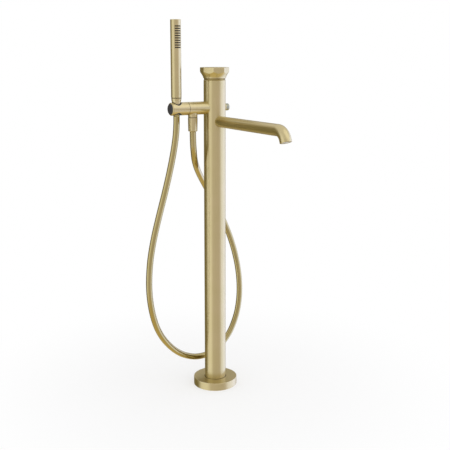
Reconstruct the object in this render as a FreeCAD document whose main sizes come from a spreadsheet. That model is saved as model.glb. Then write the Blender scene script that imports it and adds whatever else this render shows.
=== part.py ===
import FreeCAD, Part
import math
import os
import re
import Sketcher

# Floor standing bath filler, in millimetres. The origin is on the floor, on the column's axis, with +Z up.
# The spout points along -Y, the arm with the handset along -X, and the diverter knob along +X.

# Every size is one row: its name, its value and what it measures.
SIZES = [
    ("slip_gap", 0.05, "radial gap between pieces that are assembled and stay put"),
    ("running_gap", 0.05, "radial gap between a shaft and the hole it turns or slides in"),
    ("face_gap", 0.1, "gap between flat faces that move over each other"),
    # floor plate and its cover
    ("plate_thickness", 12, "floor plate"),
    ("plate_gap", 2, "between the floor plate's edge and the inside of its cover"),
    ("bolt_ring", 41, "radius of the circle that the bolt holes lie on"),
    ("bolt_hole", 3.5, "radius of a bolt hole"),
    ("bolt_count", 4, "number of bolt holes"),
    ("boss_rise", 30, "height of the boss above the floor plate"),
    ("inlet_spread", 12.5, "inlets, sideways from the column's axis"),
    ("inlet_offset", 7, "inlets, behind the column's axis"),
    ("inlet_core", 9.3, "core radius of an inlet's half-inch thread"),
    ("inlet_depth", 14, "length of an inlet's thread"),
    ("cover_radius", 57.5, "base cover, outside"),
    ("cover_room", 5.5, "room between the floor plate and its cover"),
    ("cover_wall", 2.5, "base cover, thickness of its top and side"),
    ("cover_edge", 0.8, "chamfer round the base cover's top"),
    ("cover_gap", 0.3, "between the base cover and the column tube"),
    # supply pipes
    ("pipe_radius", 5, "supply pipe, outside"),
    ("pipe_wall", 1, "supply pipe"),
    ("pipe_socket", 8, "depth of the sockets that hold the supply pipes"),
    ("pipe_spread", 9, "supply pipes at the valve, sideways from the column's axis"),
    ("pipe_offset", 12.5, "supply pipes at the valve, behind the column's axis"),
    ("pipe_shift", 40, "height over which a supply pipe moves sideways"),
    ("pipe_turn", 60, "radius of a supply pipe's bends"),
    # column
    ("column_radius", 28, "column tube, outside"),
    ("column_wall", 2, "column tube"),
    ("column_top", 813.5, "height of the column tube's top"),
    ("column_edge", 1, "chamfer round the column tube's top"),
    # valve inside the column
    ("cap_height", 12.5, "column cap"),
    ("valve_length", 111, "valve body"),
    ("valve_gap", 0.5, "between the valve body and the column tube"),
    ("cartridge_radius", 20, "mixer cartridge"),
    ("cartridge_length", 28, "mixer cartridge, without its neck"),
    ("cartridge_neck", 14, "radius of the mixer cartridge's neck"),
    ("neck_height", 6, "height of the mixer cartridge's neck"),
    ("cartridge_port", 3, "depth of the ports in the mixer cartridge's underside"),
    ("ring_nut_height", 8, "ring nut that holds the cartridge down"),
    ("ring_nut_wall", 1.55, "wall of the valve body round the ring nut"),
    ("supply_bore", 4, "bores that lead hot and cold water to the cartridge"),
    ("mixed_bore", 3.8, "bore that leads mixed water down to the diverter"),
    ("riser_bore", 4.5, "bore that leads from the diverter to the spout"),
    ("riser_margin", 1.3, "between that bore and the diverter bush"),
    ("passage_bore", 5, "sideways passage from that bore to the spout"),
    ("port_thread", 9, "radius of the threads of the spout's and the arm's ports"),
    ("port_length", 5.5, "threads of those ports"),
    ("seat_depth", 8, "seats of the spout and the arm, inwards from the column's surface"),
    # mixer knob
    ("glide_inset", 1, "glide ring, inwards from the column's surface"),
    ("glide_height", 4.4, "glide ring under the knob"),
    ("stem_radius", 5, "mixer stem"),
    ("stem_depth", 12, "how far the mixer stem reaches into the cartridge"),
    ("knob_lip", 0.8, "how far the knob's lower rim stands out past the column"),
    ("knob_rim", 1.5, "height of the knob's lower rim"),
    ("knob_flare", 14.5, "height of the knob's taper"),
    ("knob_plate", 11, "thickness of the knob's octagonal plate"),
    ("knob_corner", 37.2, "distance of the plate's corners from the axis"),
    ("knob_angle", 11, "turn of the octagon, in degrees"),
    ("knob_edge", 0.6, "chamfer round the plate's top"),
    ("knob_socket", 17, "depth of the knob's socket for the stem"),
    ("screw_radius", 2, "grub screws"),
    ("screw_rise", 8, "knob's screw above the knob's underside"),
    ("screw_length", 12, "knob's screw"),
    # spout
    ("spout_drop", 104, "axis of the spout below the column tube's top"),
    ("spout_radius", 14, "spout tube, outside"),
    ("spout_wall", 1.5, "spout tube"),
    ("spout_reach", 281.3, "where the spout's bend starts, from the column's axis"),
    ("spout_turn", 30.5, "radius of the spout's bend"),
    ("spout_angle", 71, "turn of the spout's bend, in degrees"),
    ("spout_tail", 5, "straight end of the spout after its bend"),
    ("nipple_bore", 6, "spout nipple"),
    ("nipple_length", 14, "part of the spout nipple inside the spout tube"),
    ("nipple_seal", 2.2, "section of the sealing ring on the spout nipple"),
    ("aerator_proud", 0.3, "how far the aerator housing stands out of the spout"),
    ("aerator_wall", 1.95, "aerator housing"),
    ("aerator_shelf", 1, "width of the ledge that holds the insert"),
    ("insert_height", 3.5, "aerator insert"),
    ("insert_recess", 1, "how far the insert sits inside the housing"),
    ("insert_hole", 0.9, "radius of the insert's holes"),
    ("insert_inner_ring", 3.5, "inner ring of the insert's holes"),
    ("insert_outer_ring", 7.5, "outer ring of the insert's holes"),
    # arm
    ("arm_drop", 69.5, "axis of the arm and the diverter below the column tube's top"),
    ("arm_radius", 16.25, "arm sleeve and holder, outside"),
    ("arm_wall", 2, "arm sleeve"),
    ("arm_end", 79, "end of the arm sleeve, from the column's axis"),
    ("arm_bore", 5.4, "waterway in the arm"),
    ("washer_thickness", 0.5, "arm washer, seen as the arm's seam"),
    ("washer_inset", 0.6, "how far the arm washer lies below the sleeve's surface"),
    ("spindle_radius", 8, "holder spindle"),
    ("spindle_thread", 6, "radius of the spindle's threaded end"),
    ("thread_length", 8, "spindle's threaded end"),
    ("spindle_length", 15, "part of the spindle that the holder turns on"),
    ("groove_radius", 6.5, "bottom of the spindle's groove"),
    ("groove_start", 6, "start of the groove, from the arm's end"),
    ("groove_play", 0.2, "between the holder's screw and the groove's sides"),
    # hose outlet under the arm
    ("outlet_inset", 15, "axis of the hose outlet, inwards from the arm's end"),
    ("outlet_depth", 8, "top of the outlet's thread, below the arm's axis"),
    ("hose_thread", 10.4, "radius of the half-inch hose threads"),
    ("neck_wall", 1.5, "neck under the arm, outside the thread's radius"),
    ("neck_length", 5.75, "neck, below the arm"),
    ("nipple_thread", 14, "length of the outlet nipple's thread below the neck"),
    ("outlet_bore", 6, "waterway through the outlet nut"),
    ("check_radius", 7.5, "check valve"),
    ("check_length", 15, "check valve"),
    ("check_bore", 4, "check valve"),
    ("hose_washer", 2, "thickness of the hose washers"),
    ("nut_wall", 1.8, "outlet nut at its top, outside the thread's radius"),
    ("nut_end_radius", 11.5, "outlet nut at its lower end"),
    ("nut_edge", 0.8, "chamfer round the nut's lower end"),
    ("nut_length", 35.5, "outlet nut"),
    # hose
    ("hose_radius", 8, "hose"),
    ("hose_clearance", 0.35, "between the hose's upper end and the turning holder"),
    # holder
    ("cradle_wall", 2.5, "holder barrel between the spindle and the liner"),
    ("end_wall", 1.8, "holder barrel between the liner and the end plug"),
    ("holder_edge", 0.5, "chamfer of the holder at the arm's seam"),
    ("holder_round", 2.8, "rounding of the holder's free end"),
    ("liner_gap", 0.4, "between the liner and the cone nut"),
    ("liner_wall", 2, "holder liner at its widened mouth"),
    ("liner_rise", 6, "start of the liner's taper above the arm's axis"),
    ("liner_taper", 7, "height of the liner's taper"),
    ("liner_inset", 0.1, "how far the liner lies below the barrel's surface"),
    ("plug_radius", 13.1, "end plug"),
    ("plug_depth", 1.7, "part of the end plug inside the barrel"),
    ("plug_proud", 2.6, "part of the end plug outside the barrel"),
    ("plug_round", 2.2, "rounding of the end plug"),
    ("screw_sink", 0.8, "how far the holder's screw lies below the surface"),
    ("slack_wall", 2.5, "slack stretch of hose"),
    ("slack_drop", 14, "lower end of the slack stretch below the arm's axis"),
    ("slack_margin", 3, "between the slack stretch's upper end and the handset's core"),
    # cone nut
    ("slack_play", 0.4, "round the slack stretch of hose"),
    ("collar_wall", 1.2, "cone nut at its collar"),
    ("cone_wall", 1.45, "cone nut along its taper"),
    ("cone_drop", 13, "lower end of the cone nut below the arm's axis"),
    ("cone_rise", 8, "start of the cone nut's taper above the arm's axis"),
    ("swell_rise", 20, "where the taper steepens, above the arm's axis"),
    ("ring_rise", 13, "underside of the hose swivel ring above the arm's axis"),
    ("ring_height", 5, "room for the hose swivel ring"),
    ("ring_step", 1.25, "width of the ledge under the hose swivel ring"),
    ("ring_play", 0.15, "between the swivel ring and the slack stretch of hose"),
    ("seam_rise", 28, "seam between the cone nut and the handset above the arm's axis"),
    ("seam_edge", 0.4, "chamfers at that seam"),
    # handset
    ("handset_radius", 13, "handset tube, outside"),
    ("handset_wall", 1.6, "handset tube"),
    ("handset_length", 189, "handset tube"),
    ("handset_edge", 0.6, "chamfer round the handset's top"),
    ("cap_thickness", 5, "handset cap"),
    ("cap_inset", 0.3, "how far the cap lies below the tube's rim"),
    ("connector_length", 18, "part of the connector inside the handset tube"),
    ("core_bore", 5, "waterway in the handset's core"),
    ("core_socket", 13, "wide start of the waterway"),
    ("core_collar", 16, "full-width start of the core"),
    ("slot_margin", 16, "middle of the top slot below the handset's top"),
    ("slot_pitch", 5.67, "from slot to slot"),
    ("slot_height", 3.1, "a slot"),
    ("slot_count", 10, "number of slots"),
    ("slot_spread", 76, "angle that a slot takes up round the tube"),
    ("strip_spread", 84, "angle that the nozzle strip takes up"),
    ("strip_margin", 5, "nozzle strip beyond the middles of the end slots"),
    ("strip_thickness", 1.5, "nozzle strip"),
    ("nozzle_radius", 0.9, "a nozzle"),
    ("nozzle_proud", 0.3, "how far a nozzle stands out of the tube"),
    ("nozzle_turn", 23, "angle from nozzle to nozzle in a row"),
    # diverter
    ("bush_thread", 8, "thread of the diverter bush"),
    ("bush_radius", 10, "flange of the diverter bush"),
    ("bush_sink", 4.6, "seat of the bush's flange, inwards from the column's surface"),
    ("bush_proud", 2, "how far the bush stands out of the column"),
    ("rod_radius", 4, "diverter stem"),
    ("rod_grip", 4, "part of the diverter stem inside its knob"),
    ("rod_margin", 2.5, "between the stem's head and the arm"),
    ("head_radius", 6.95, "head of the diverter stem"),
    ("head_length", 4, "head of the diverter stem"),
    ("head_groove", 4.75, "bottom of the head's groove"),
    ("head_seal", 2.1, "section of the head's sealing ring"),
    ("pull_radius", 9, "diverter knob"),
    ("pull_length", 11.2, "diverter knob"),
    ("pull_round", 4, "rounding of the diverter knob"),
]

# Radii and places that several pieces share, worked out from those sizes. Heights are above the floor,
# and distances along the arm, the spout and the diverter are from the column's axis.
PLATE_EDGE = "(cover_radius - cover_wall - plate_gap)"
BOSS_TOP = "(plate_thickness + boss_rise)"
COVER_TOP = "(plate_thickness + cover_room + cover_wall)"
COLUMN_BORE = "(column_radius - column_wall)"
VALVE_TOP = "(column_top - cap_height)"
VALVE_LOW = f"({VALVE_TOP} - valve_length)"
SHOULDER = f"({VALVE_TOP} - ring_nut_height)"
CARTRIDGE_LOW = f"({SHOULDER} - cartridge_length)"
RING_NUT_RADIUS = f"({COLUMN_BORE} - valve_gap - ring_nut_wall - slip_gap)"
STEM_LOW = f"({SHOULDER} - stem_depth)"
KNOB_LOW = "(column_top + glide_height + face_gap)"
PLATE_LOW = f"({KNOB_LOW} + knob_rim + knob_flare)"
KNOB_TOP = f"({PLATE_LOW} + knob_plate)"
KNOB_NECK = "(column_radius + knob_lip)"
SPOUT_AXIS = "(column_top - spout_drop)"
ARM_AXIS = "(column_top - arm_drop)"
SEAT = "(column_radius - seat_depth)"
PORT = f"({SEAT} - port_length)"
SPOUT_BORE = "(spout_radius - spout_wall)"
HEAD_START = f"(-{PORT} + rod_margin)"
HEAD_END = f"({HEAD_START} + head_length)"
MIXED_PLACE = f"({HEAD_END} + face_gap + mixed_bore)"
RISER_PLACE = f"({PORT} - riser_margin - riser_bore)"
ARM_BORE = "(arm_radius - arm_wall)"
OUTLET = "(arm_end - outlet_inset)"
OUTLET_FACE = f"({ARM_AXIS} - arm_radius - neck_length)"
THREAD_END = f"({OUTLET_FACE} - nipple_thread)"
NUT_LOW = f"({OUTLET_FACE} - nut_length)"
GROOVE = "(arm_end + groove_start)"
GROOVE_MIDDLE = f"({GROOVE} + groove_play + screw_radius)"
CONE_BORE = "(hose_radius + slack_play)"
COLLAR = f"({CONE_BORE} + collar_wall)"
RING_RADIUS = f"({CONE_BORE} + ring_step)"
WAIST = f"({RING_RADIUS} + cone_wall)"
LINER_RADIUS = f"({WAIST} + liner_gap + liner_wall)"
HANDSET = f"(arm_end + spindle_length + cradle_wall + {LINER_RADIUS})"
PLUG_SEAT = f"({HANDSET} + {LINER_RADIUS} + end_wall)"
HOLDER_END = f"({PLUG_SEAT} + plug_depth)"
RING_LOW = f"({ARM_AXIS} + ring_rise)"
RING_TOP = f"({RING_LOW} + ring_height)"
SEAM = f"({ARM_AXIS} + seam_rise)"
CORE_LOW = f"({SEAM} + connector_length)"
HANDSET_TOP = f"({SEAM} + handset_length)"
CAP_LOW = f"({HANDSET_TOP} - cap_inset - cap_thickness)"
HANDSET_BORE = "(handset_radius - handset_wall)"
HANDSET_FIT = f"({HANDSET_BORE} - slip_gap)"
STRIP_RADIUS = f"({HANDSET_FIT} - strip_thickness)"
CORE_WAIST = f"({STRIP_RADIUS} - slip_gap)"
STRIP_TOP = f"({HANDSET_TOP} - slot_margin + strip_margin)"
STRIP_HEIGHT = "((slot_count - 1) * slot_pitch + 2 * strip_margin)"
STRIP_LOW = f"({STRIP_TOP} - {STRIP_HEIGHT})"
NOZZLE_ROOT = f"({HANDSET_FIT} - strip_thickness / 2)"
NOZZLE_TIP = "(handset_radius + nozzle_proud)"
BUSH_SEAT = "(column_radius - bush_sink)"
BUSH_END = "(column_radius + bush_proud)"

# The hose's route, from the outlet nut, round behind the column, to the holder. Each place was picked by
# hand, and its two ends are where the nut and the holder are.
HOSE_LEAD = 24.5  # straight drop below the outlet nut
HOSE_ROUTE = [
    (-59.5, 5, 637),
    (-49, 19, 608),
    (-24, 47, 575.5),
    (17, 81, 530.5),
    (74.5, 102.5, 452),
    (116, 98.5, 357),
    (132, 86, 262),
    (123.5, 74, 178),
    (93.5, 65, 114),
    (57.5, 59.5, 79.5),
    (19.5, 55, 63),
    (-9.5, 51.5, 59.5),
    (-47, 47.5, 65.5),
    (-94.5, 41, 90),
    (-143.5, 30.5, 142),
    (-172.5, 20, 199.5),
    (-191, 7.5, 276.5),
    (-192.5, -1.5, 353.5),
    (-182.5, -5.5, 418.5),
    (-165, -6.5, 483),
    (-145.5, -5, 544),
    (-126.5, -1.5, 608),
    (-114.5, 0, 661.5),
]
HOSE_RISE = 27.4  # straight rise into the holder
HOSE_ARC = 0.45  # share of the shorter run that an arc of the hose takes up

UP = FreeCAD.Rotation()
DOWN = FreeCAD.Rotation(FreeCAD.Vector(1, 0, 0), 180)
TO_FRONT = FreeCAD.Rotation(FreeCAD.Vector(1, 0, 0), 90)
TO_BACK = FreeCAD.Rotation(FreeCAD.Vector(1, 0, 0), -90)
TO_LEFT = FreeCAD.Rotation(FreeCAD.Vector(0, 1, 0), -90)
TO_RIGHT = FreeCAD.Rotation(FreeCAD.Vector(0, 1, 0), 90)
ALIAS = re.compile(r"\b([a-z]+(?:_[a-z]+)+)\b")

document = FreeCAD.newDocument("BathFiller")
sheet = document.addObject("Spreadsheet::Sheet", "Sizes")
for number, (alias, value, meaning) in enumerate(SIZES, 1):
    sheet.set(f"A{number}", meaning)
    sheet.set(f"B{number}", str(value))
    sheet.setAlias(f"B{number}", alias)
document.recompute()

kept = []


def bind(thing, path, formula):
    """Ties one property to a formula of named sizes."""
    thing.setExpression(path, ALIAS.sub(r"Sizes.\1", formula))


def measure(formula):
    """The present value of a formula."""
    probe = document.addObject("Part::Vertex", "probe")
    bind(probe, "X", formula)
    document.recompute()
    result = float(probe.X)
    document.removeObject(probe.Name)
    return result


def lay(thing, turn=UP, x="0", y="0", z="0"):
    """Turns a thing and ties its place to formulas."""
    thing.Placement = FreeCAD.Placement(FreeCAD.Vector(), turn)
    bind(thing, "Placement.Base.x", x)
    bind(thing, "Placement.Base.y", y)
    bind(thing, "Placement.Base.z", z)
    return thing


def keep(thing, label):
    """Names a finished sub-part."""
    thing.Label = label
    kept.append(thing)
    return thing


def sketch_on(body, role, name):
    """An empty sketch on one of a body's own origin planes."""
    plane = next(feature for feature in body.Origin.OriginFeatures if feature.Role == role)
    sketch = body.newObject("Sketcher::SketchObject", name)
    sketch.AttachmentSupport = [(plane, "")]
    sketch.MapMode = "FlatFace"
    return sketch


def hold_point(sketch, line, end, across, along):
    """Ties one point of a sketch to a pair of formulas."""
    for kind, formula in (("DistanceX", across), ("DistanceY", along)):
        index = sketch.addConstraint(Sketcher.Constraint(kind, -1, 1, line, end, 1.0))
        bind(sketch, f"Constraints[{index}]", formula)


def polygon(sketch, corners):
    """A closed polygon in a sketch, with each corner a pair of formulas."""
    count = len(corners)
    spots = []
    for number in range(count):
        angle = 2 * math.pi * number / count
        spots.append(FreeCAD.Vector(2 + math.cos(angle), 2 + math.sin(angle), 0))
    for number in range(count):
        sketch.addGeometry(Part.LineSegment(spots[number], spots[(number + 1) % count]))
    for number in range(count):
        sketch.addConstraint(Sketcher.Constraint("Coincident", number, 2, (number + 1) % count, 1))
    for number, (across, along) in enumerate(corners):
        hold_point(sketch, number, 1, across, along)


def circle(sketch, across, along, radius):
    """A circle in a sketch, placed and sized by formulas."""
    line = sketch.addGeometry(Part.Circle(FreeCAD.Vector(1, 1, 0), FreeCAD.Vector(0, 0, 1), 1))
    hold_point(sketch, line, 3, across, along)
    index = sketch.addConstraint(Sketcher.Constraint("Radius", line, 1.0))
    bind(sketch, f"Constraints[{index}]", radius)


def turned(name, corners):
    """A body turned about its own Z axis, from corners given as radius and height."""
    body = document.addObject("PartDesign::Body", name)
    section = sketch_on(body, "XZ_Plane", f"{name}_section")
    polygon(section, corners)
    turn = body.newObject("PartDesign::Revolution", f"{name}_turn")
    turn.Profile = section
    turn.ReferenceAxis = (section, ["V_Axis"])
    turn.Angle = 360
    document.recompute()
    return body


def tube(name, outside, inside, low, high):
    """A turned tube between two heights."""
    return turned(name, [(inside, low), (outside, low), (outside, high), (inside, high)])


def drill(body, name, distance, radius, depth, count):
    """A ring of round holes, cut upwards from a body's XY plane."""
    hole = sketch_on(body, "XY_Plane", f"{name}_hole")
    circle(hole, "0", distance, radius)
    pocket = body.newObject("PartDesign::Pocket", f"{name}_pocket")
    pocket.Profile = hole
    pocket.Reversed = True
    bind(pocket, "Length", depth)
    document.recompute()
    pattern = body.newObject("PartDesign::PolarPattern", f"{name}_pattern")
    pattern.Originals = [pocket]
    pattern.Axis = (hole, ["N_Axis"])
    pattern.Angle = 360
    bind(pattern, "Occurrences", count)
    body.Tip = pattern
    document.recompute()


def round_over(body, radius, height, amount):
    """A fillet on the outer rim of a turned body, which is found by its radius and height."""
    rim_radius = measure(radius)
    rim_height = measure(height)
    base = body.Tip
    edges = []
    for number, edge in enumerate(base.Shape.Edges, 1):
        if not isinstance(edge.Curve, Part.Circle):
            continue
        off = abs(edge.Curve.Radius - rim_radius) + abs(edge.Curve.Center.z - rim_height)
        if off < 1e-4:
            edges.append(f"Edge{number}")
    fillet = body.newObject("PartDesign::Fillet", f"{body.Name}_fillet")
    fillet.Base = (base, edges)
    bind(fillet, "Radius", amount)
    document.recompute()


def bar(name, radius, length, turn=UP, x="0", y="0", z="0"):
    """A round bar that starts at a place and runs along one of the directions above."""
    rod = document.addObject("Part::Cylinder", name)
    bind(rod, "Radius", radius)
    bind(rod, "Height", length)
    return lay(rod, turn, x, y, z)


def wedge(name, radius, height, spread, low):
    """A sector of a round bar on the handset's axis, centred on the side that faces the front."""
    piece = bar(name, radius, height)
    bind(piece, "Angle", spread)
    turn = FreeCAD.Rotation(FreeCAD.Vector(0, 0, 1), -90 - measure(spread) / 2)
    return lay(piece, turn, x=f"-{HANDSET}", z=low)


def ring_seal(name, section, middle):
    """A sealing ring with a round section."""
    seal = document.addObject("Part::Torus", name)
    bind(seal, "Radius2", f"{section} / 2")
    bind(seal, "Radius1", middle)
    return seal


def joined(name, *things):
    """Several things made one."""
    result = document.addObject("Part::MultiFuse", name)
    result.Shapes = list(things)
    return result


def cut(name, base, *tools):
    """A base with its tools cut out of it."""
    result = document.addObject("Part::Cut", name)
    result.Base = base
    result.Tool = tools[0] if len(tools) == 1 else joined(f"{name}_tools", *tools)
    return result


def rounded_path(points, radii):
    """A wire of straight runs joined by tangent arcs, with one radius for each inner point."""
    edges = []
    start = points[0]
    for here, after, radius in zip(points[1:-1], points[2:], radii):
        inward = (here - start).normalize()
        onward = (after - here).normalize()
        turn = inward.getAngle(onward)
        reach = radius * math.tan(turn / 2)
        arc_start = here - inward * reach
        arc_end = here + onward * reach
        inside = (onward - inward).normalize()
        middle = here + inside * (radius / math.cos(turn / 2) - radius)
        edges.append(Part.LineSegment(start, arc_start).toShape())
        edges.append(Part.Arc(arc_start, middle, arc_end).toShape())
        start = arc_end
    edges.append(Part.LineSegment(start, points[-1]).toShape())
    return Part.Wire(edges)


def swept(path, radius):
    """A solid round bar along a path."""
    first = path.OrderedEdges[0]
    start = first.valueAt(first.FirstParameter)
    way = first.tangentAt(first.FirstParameter)
    profile = Part.Wire([Part.makeCircle(radius, start, way)])
    return path.makePipeShell([profile], True, False)


def keep_bent(shape, label):
    """A finished sub-part whose shape follows a bent path."""
    thing = document.addObject("Part::Feature", label)
    thing.Shape = shape
    thing.Placement = FreeCAD.Placement()
    keep(thing, label)


# Floor plate and cover


def make_floor_plate():
    """A heavy round plate with bolt holes, and a boss with the two inlets that carries the column."""
    boss = f"({COLUMN_BORE} - slip_gap)"
    body = turned(
        "floor_plate_blank",
        [
            ("0", "0"),
            (PLATE_EDGE, "0"),
            (PLATE_EDGE, "plate_thickness"),
            (boss, "plate_thickness"),
            (boss, BOSS_TOP),
            ("0", BOSS_TOP),
        ],
    )
    drill(body, "floor_plate_bolt", "bolt_ring", "bolt_hole", "plate_thickness", "bolt_count")
    tools = []
    for side, x in (("hot", "-inlet_spread"), ("cold", "inlet_spread")):
        y = "inlet_offset"
        socket_low = f"{BOSS_TOP} - pipe_socket"
        tools.append(bar(f"{side}_inlet_thread", "inlet_core", "inlet_depth", UP, x, y))
        tools.append(bar(f"{side}_inlet_bore", "pipe_radius - pipe_wall", BOSS_TOP, UP, x, y))
        socket = bar(f"{side}_inlet_socket", "pipe_radius + slip_gap", "pipe_socket", UP, x, y, socket_low)
        tools.append(socket)
    keep(cut("floor_plate_cut", body, *tools), "floor_plate")


def make_base_cover():
    """The round cover on the floor, hollow underneath, with a hole for the column."""
    hole = "column_radius + cover_gap"
    inside = "cover_radius - cover_wall"
    cover = turned(
        "base_cover",
        [
            (inside, "0"),
            ("cover_radius", "0"),
            ("cover_radius", f"{COVER_TOP} - cover_edge"),
            ("cover_radius - cover_edge", COVER_TOP),
            (hole, COVER_TOP),
            (hole, f"{COVER_TOP} - cover_wall"),
            (inside, f"{COVER_TOP} - cover_wall"),
        ],
    )
    keep(cover, "base_cover")


# Column


def make_column_tube():
    """The upright tube, with holes for the spout, the arm and the diverter."""
    blank = turned(
        "column_blank",
        [
            (COLUMN_BORE, "plate_thickness"),
            ("column_radius", "plate_thickness"),
            ("column_radius", "column_top - column_edge"),
            ("column_radius - column_edge", "column_top"),
            (COLUMN_BORE, "column_top"),
        ],
    )
    through = "2 * column_radius"
    holes = [
        bar("column_spout_hole", "spout_radius + slip_gap", through, TO_FRONT, z=SPOUT_AXIS),
        bar("column_arm_hole", "arm_radius + slip_gap", through, TO_LEFT, z=ARM_AXIS),
        bar("column_diverter_hole", "bush_radius + slip_gap", through, TO_RIGHT, z=ARM_AXIS),
    ]
    keep(cut("column_cut", blank, *holes), "column_tube")


def make_supply_pipes():
    """The hot and the cold pipe, which stand in the floor plate and step sideways to meet the valve."""
    low = measure(f"{BOSS_TOP} - pipe_socket")
    valve_low = measure(VALVE_LOW)
    socket = measure("pipe_socket")
    shift_top = valve_low - 2 * socket
    shift_low = shift_top - measure("pipe_shift")
    outside = measure("pipe_radius")
    inside = outside - measure("pipe_wall")
    turn = measure("pipe_turn")
    for side, sign in (("hot", -1), ("cold", 1)):
        lower = (sign * measure("inlet_spread"), measure("inlet_offset"))
        upper = (sign * measure("pipe_spread"), measure("pipe_offset"))
        points = [
            FreeCAD.Vector(*lower, low),
            FreeCAD.Vector(*lower, shift_low),
            FreeCAD.Vector(*upper, shift_top),
            FreeCAD.Vector(*upper, valve_low + socket),
        ]
        path = rounded_path(points, [turn, turn])
        keep_bent(swept(path, outside).cut(swept(path, inside)), f"{side}_pipe")


# Valve


def make_valve_body():
    """The brass block in the column's top, bored for the cartridge, diverter, spout and arm."""
    block = bar("valve_block", f"{COLUMN_BORE} - valve_gap", "valve_length", z=VALVE_LOW)
    out = "column_radius"
    seat = f"{VALVE_TOP} - {CARTRIDGE_LOW}"
    riser = f"{ARM_AXIS} - {SPOUT_AXIS}"
    passage = f"{RISER_PLACE} + passage_bore"
    mixed_length = f"{CARTRIDGE_LOW} - {ARM_AXIS}"
    port = "port_thread + slip_gap"
    bush_port = "bush_thread + slip_gap"
    diverter_radius = "head_radius + running_gap"
    tools = [
        bar("valve_cartridge_seat", "cartridge_radius + slip_gap", seat, z=CARTRIDGE_LOW),
        bar("valve_nut_seat", f"{RING_NUT_RADIUS} + slip_gap", "ring_nut_height", z=SHOULDER),
        bar("valve_mixed_bore", "mixed_bore", mixed_length, x=MIXED_PLACE, z=ARM_AXIS),
        bar("valve_diverter_bore", diverter_radius, f"2 * {PORT}", TO_RIGHT, f"-{PORT}", z=ARM_AXIS),
        bar("valve_riser", "riser_bore", riser, x=RISER_PLACE, z=SPOUT_AXIS),
        bar("valve_passage", "passage_bore", passage, TO_RIGHT, z=SPOUT_AXIS),
        bar("valve_spout_bore", "nipple_bore", out, TO_FRONT, z=SPOUT_AXIS),
        bar("valve_spout_port", port, out, TO_FRONT, y=f"-{PORT}", z=SPOUT_AXIS),
        bar("valve_spout_seat", "spout_radius + slip_gap", out, TO_FRONT, y=f"-{SEAT}", z=SPOUT_AXIS),
        bar("valve_arm_port", port, out, TO_LEFT, x=f"-{PORT}", z=ARM_AXIS),
        bar("valve_arm_seat", "arm_radius + slip_gap", out, TO_LEFT, x=f"-{SEAT}", z=ARM_AXIS),
        bar("valve_bush_port", bush_port, out, TO_RIGHT, x=PORT, z=ARM_AXIS),
        bar("valve_bush_seat", "bush_radius + slip_gap", out, TO_RIGHT, x=BUSH_SEAT, z=ARM_AXIS),
    ]
    bore_length = f"{CARTRIDGE_LOW} - {VALVE_LOW}"
    for side, x in (("hot", "-pipe_spread"), ("cold", "pipe_spread")):
        y = "pipe_offset"
        socket = bar(f"valve_{side}_socket", "pipe_radius + slip_gap", "pipe_socket", UP, x, y, VALVE_LOW)
        tools.append(socket)
        tools.append(bar(f"valve_{side}_bore", "supply_bore", bore_length, UP, x, y, VALVE_LOW))
    keep(cut("valve_cut", block, *tools), "valve_body")


def make_cartridge():
    """The mixer cartridge, the ring nut that holds it down and the cap that closes the column."""
    socket = "stem_radius + running_gap"
    neck_top = f"{SHOULDER} + neck_height"
    blank = turned(
        "cartridge_blank",
        [
            ("0", CARTRIDGE_LOW),
            ("cartridge_radius", CARTRIDGE_LOW),
            ("cartridge_radius", SHOULDER),
            ("cartridge_neck", SHOULDER),
            ("cartridge_neck", neck_top),
            (socket, neck_top),
            (socket, STEM_LOW),
            ("0", STEM_LOW),
        ],
    )
    supply_place = ("pipe_offset", CARTRIDGE_LOW)
    ports = [
        bar("cartridge_hot_port", "supply_bore", "cartridge_port", UP, "-pipe_spread", *supply_place),
        bar("cartridge_cold_port", "supply_bore", "cartridge_port", UP, "pipe_spread", *supply_place),
        bar("cartridge_mixed_port", "mixed_bore", "cartridge_port", x=MIXED_PLACE, z=CARTRIDGE_LOW),
    ]
    keep(cut("cartridge_cut", blank, *ports), "mixer_cartridge")
    ring_nut = tube("ring_nut", RING_NUT_RADIUS, "cartridge_neck + slip_gap", SHOULDER, VALVE_TOP)
    keep(ring_nut, "cartridge_nut")
    keep(tube("column_cap", f"{COLUMN_BORE} - slip_gap", socket, VALVE_TOP, "column_top"), "column_cap")


# Mixer knob


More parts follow.
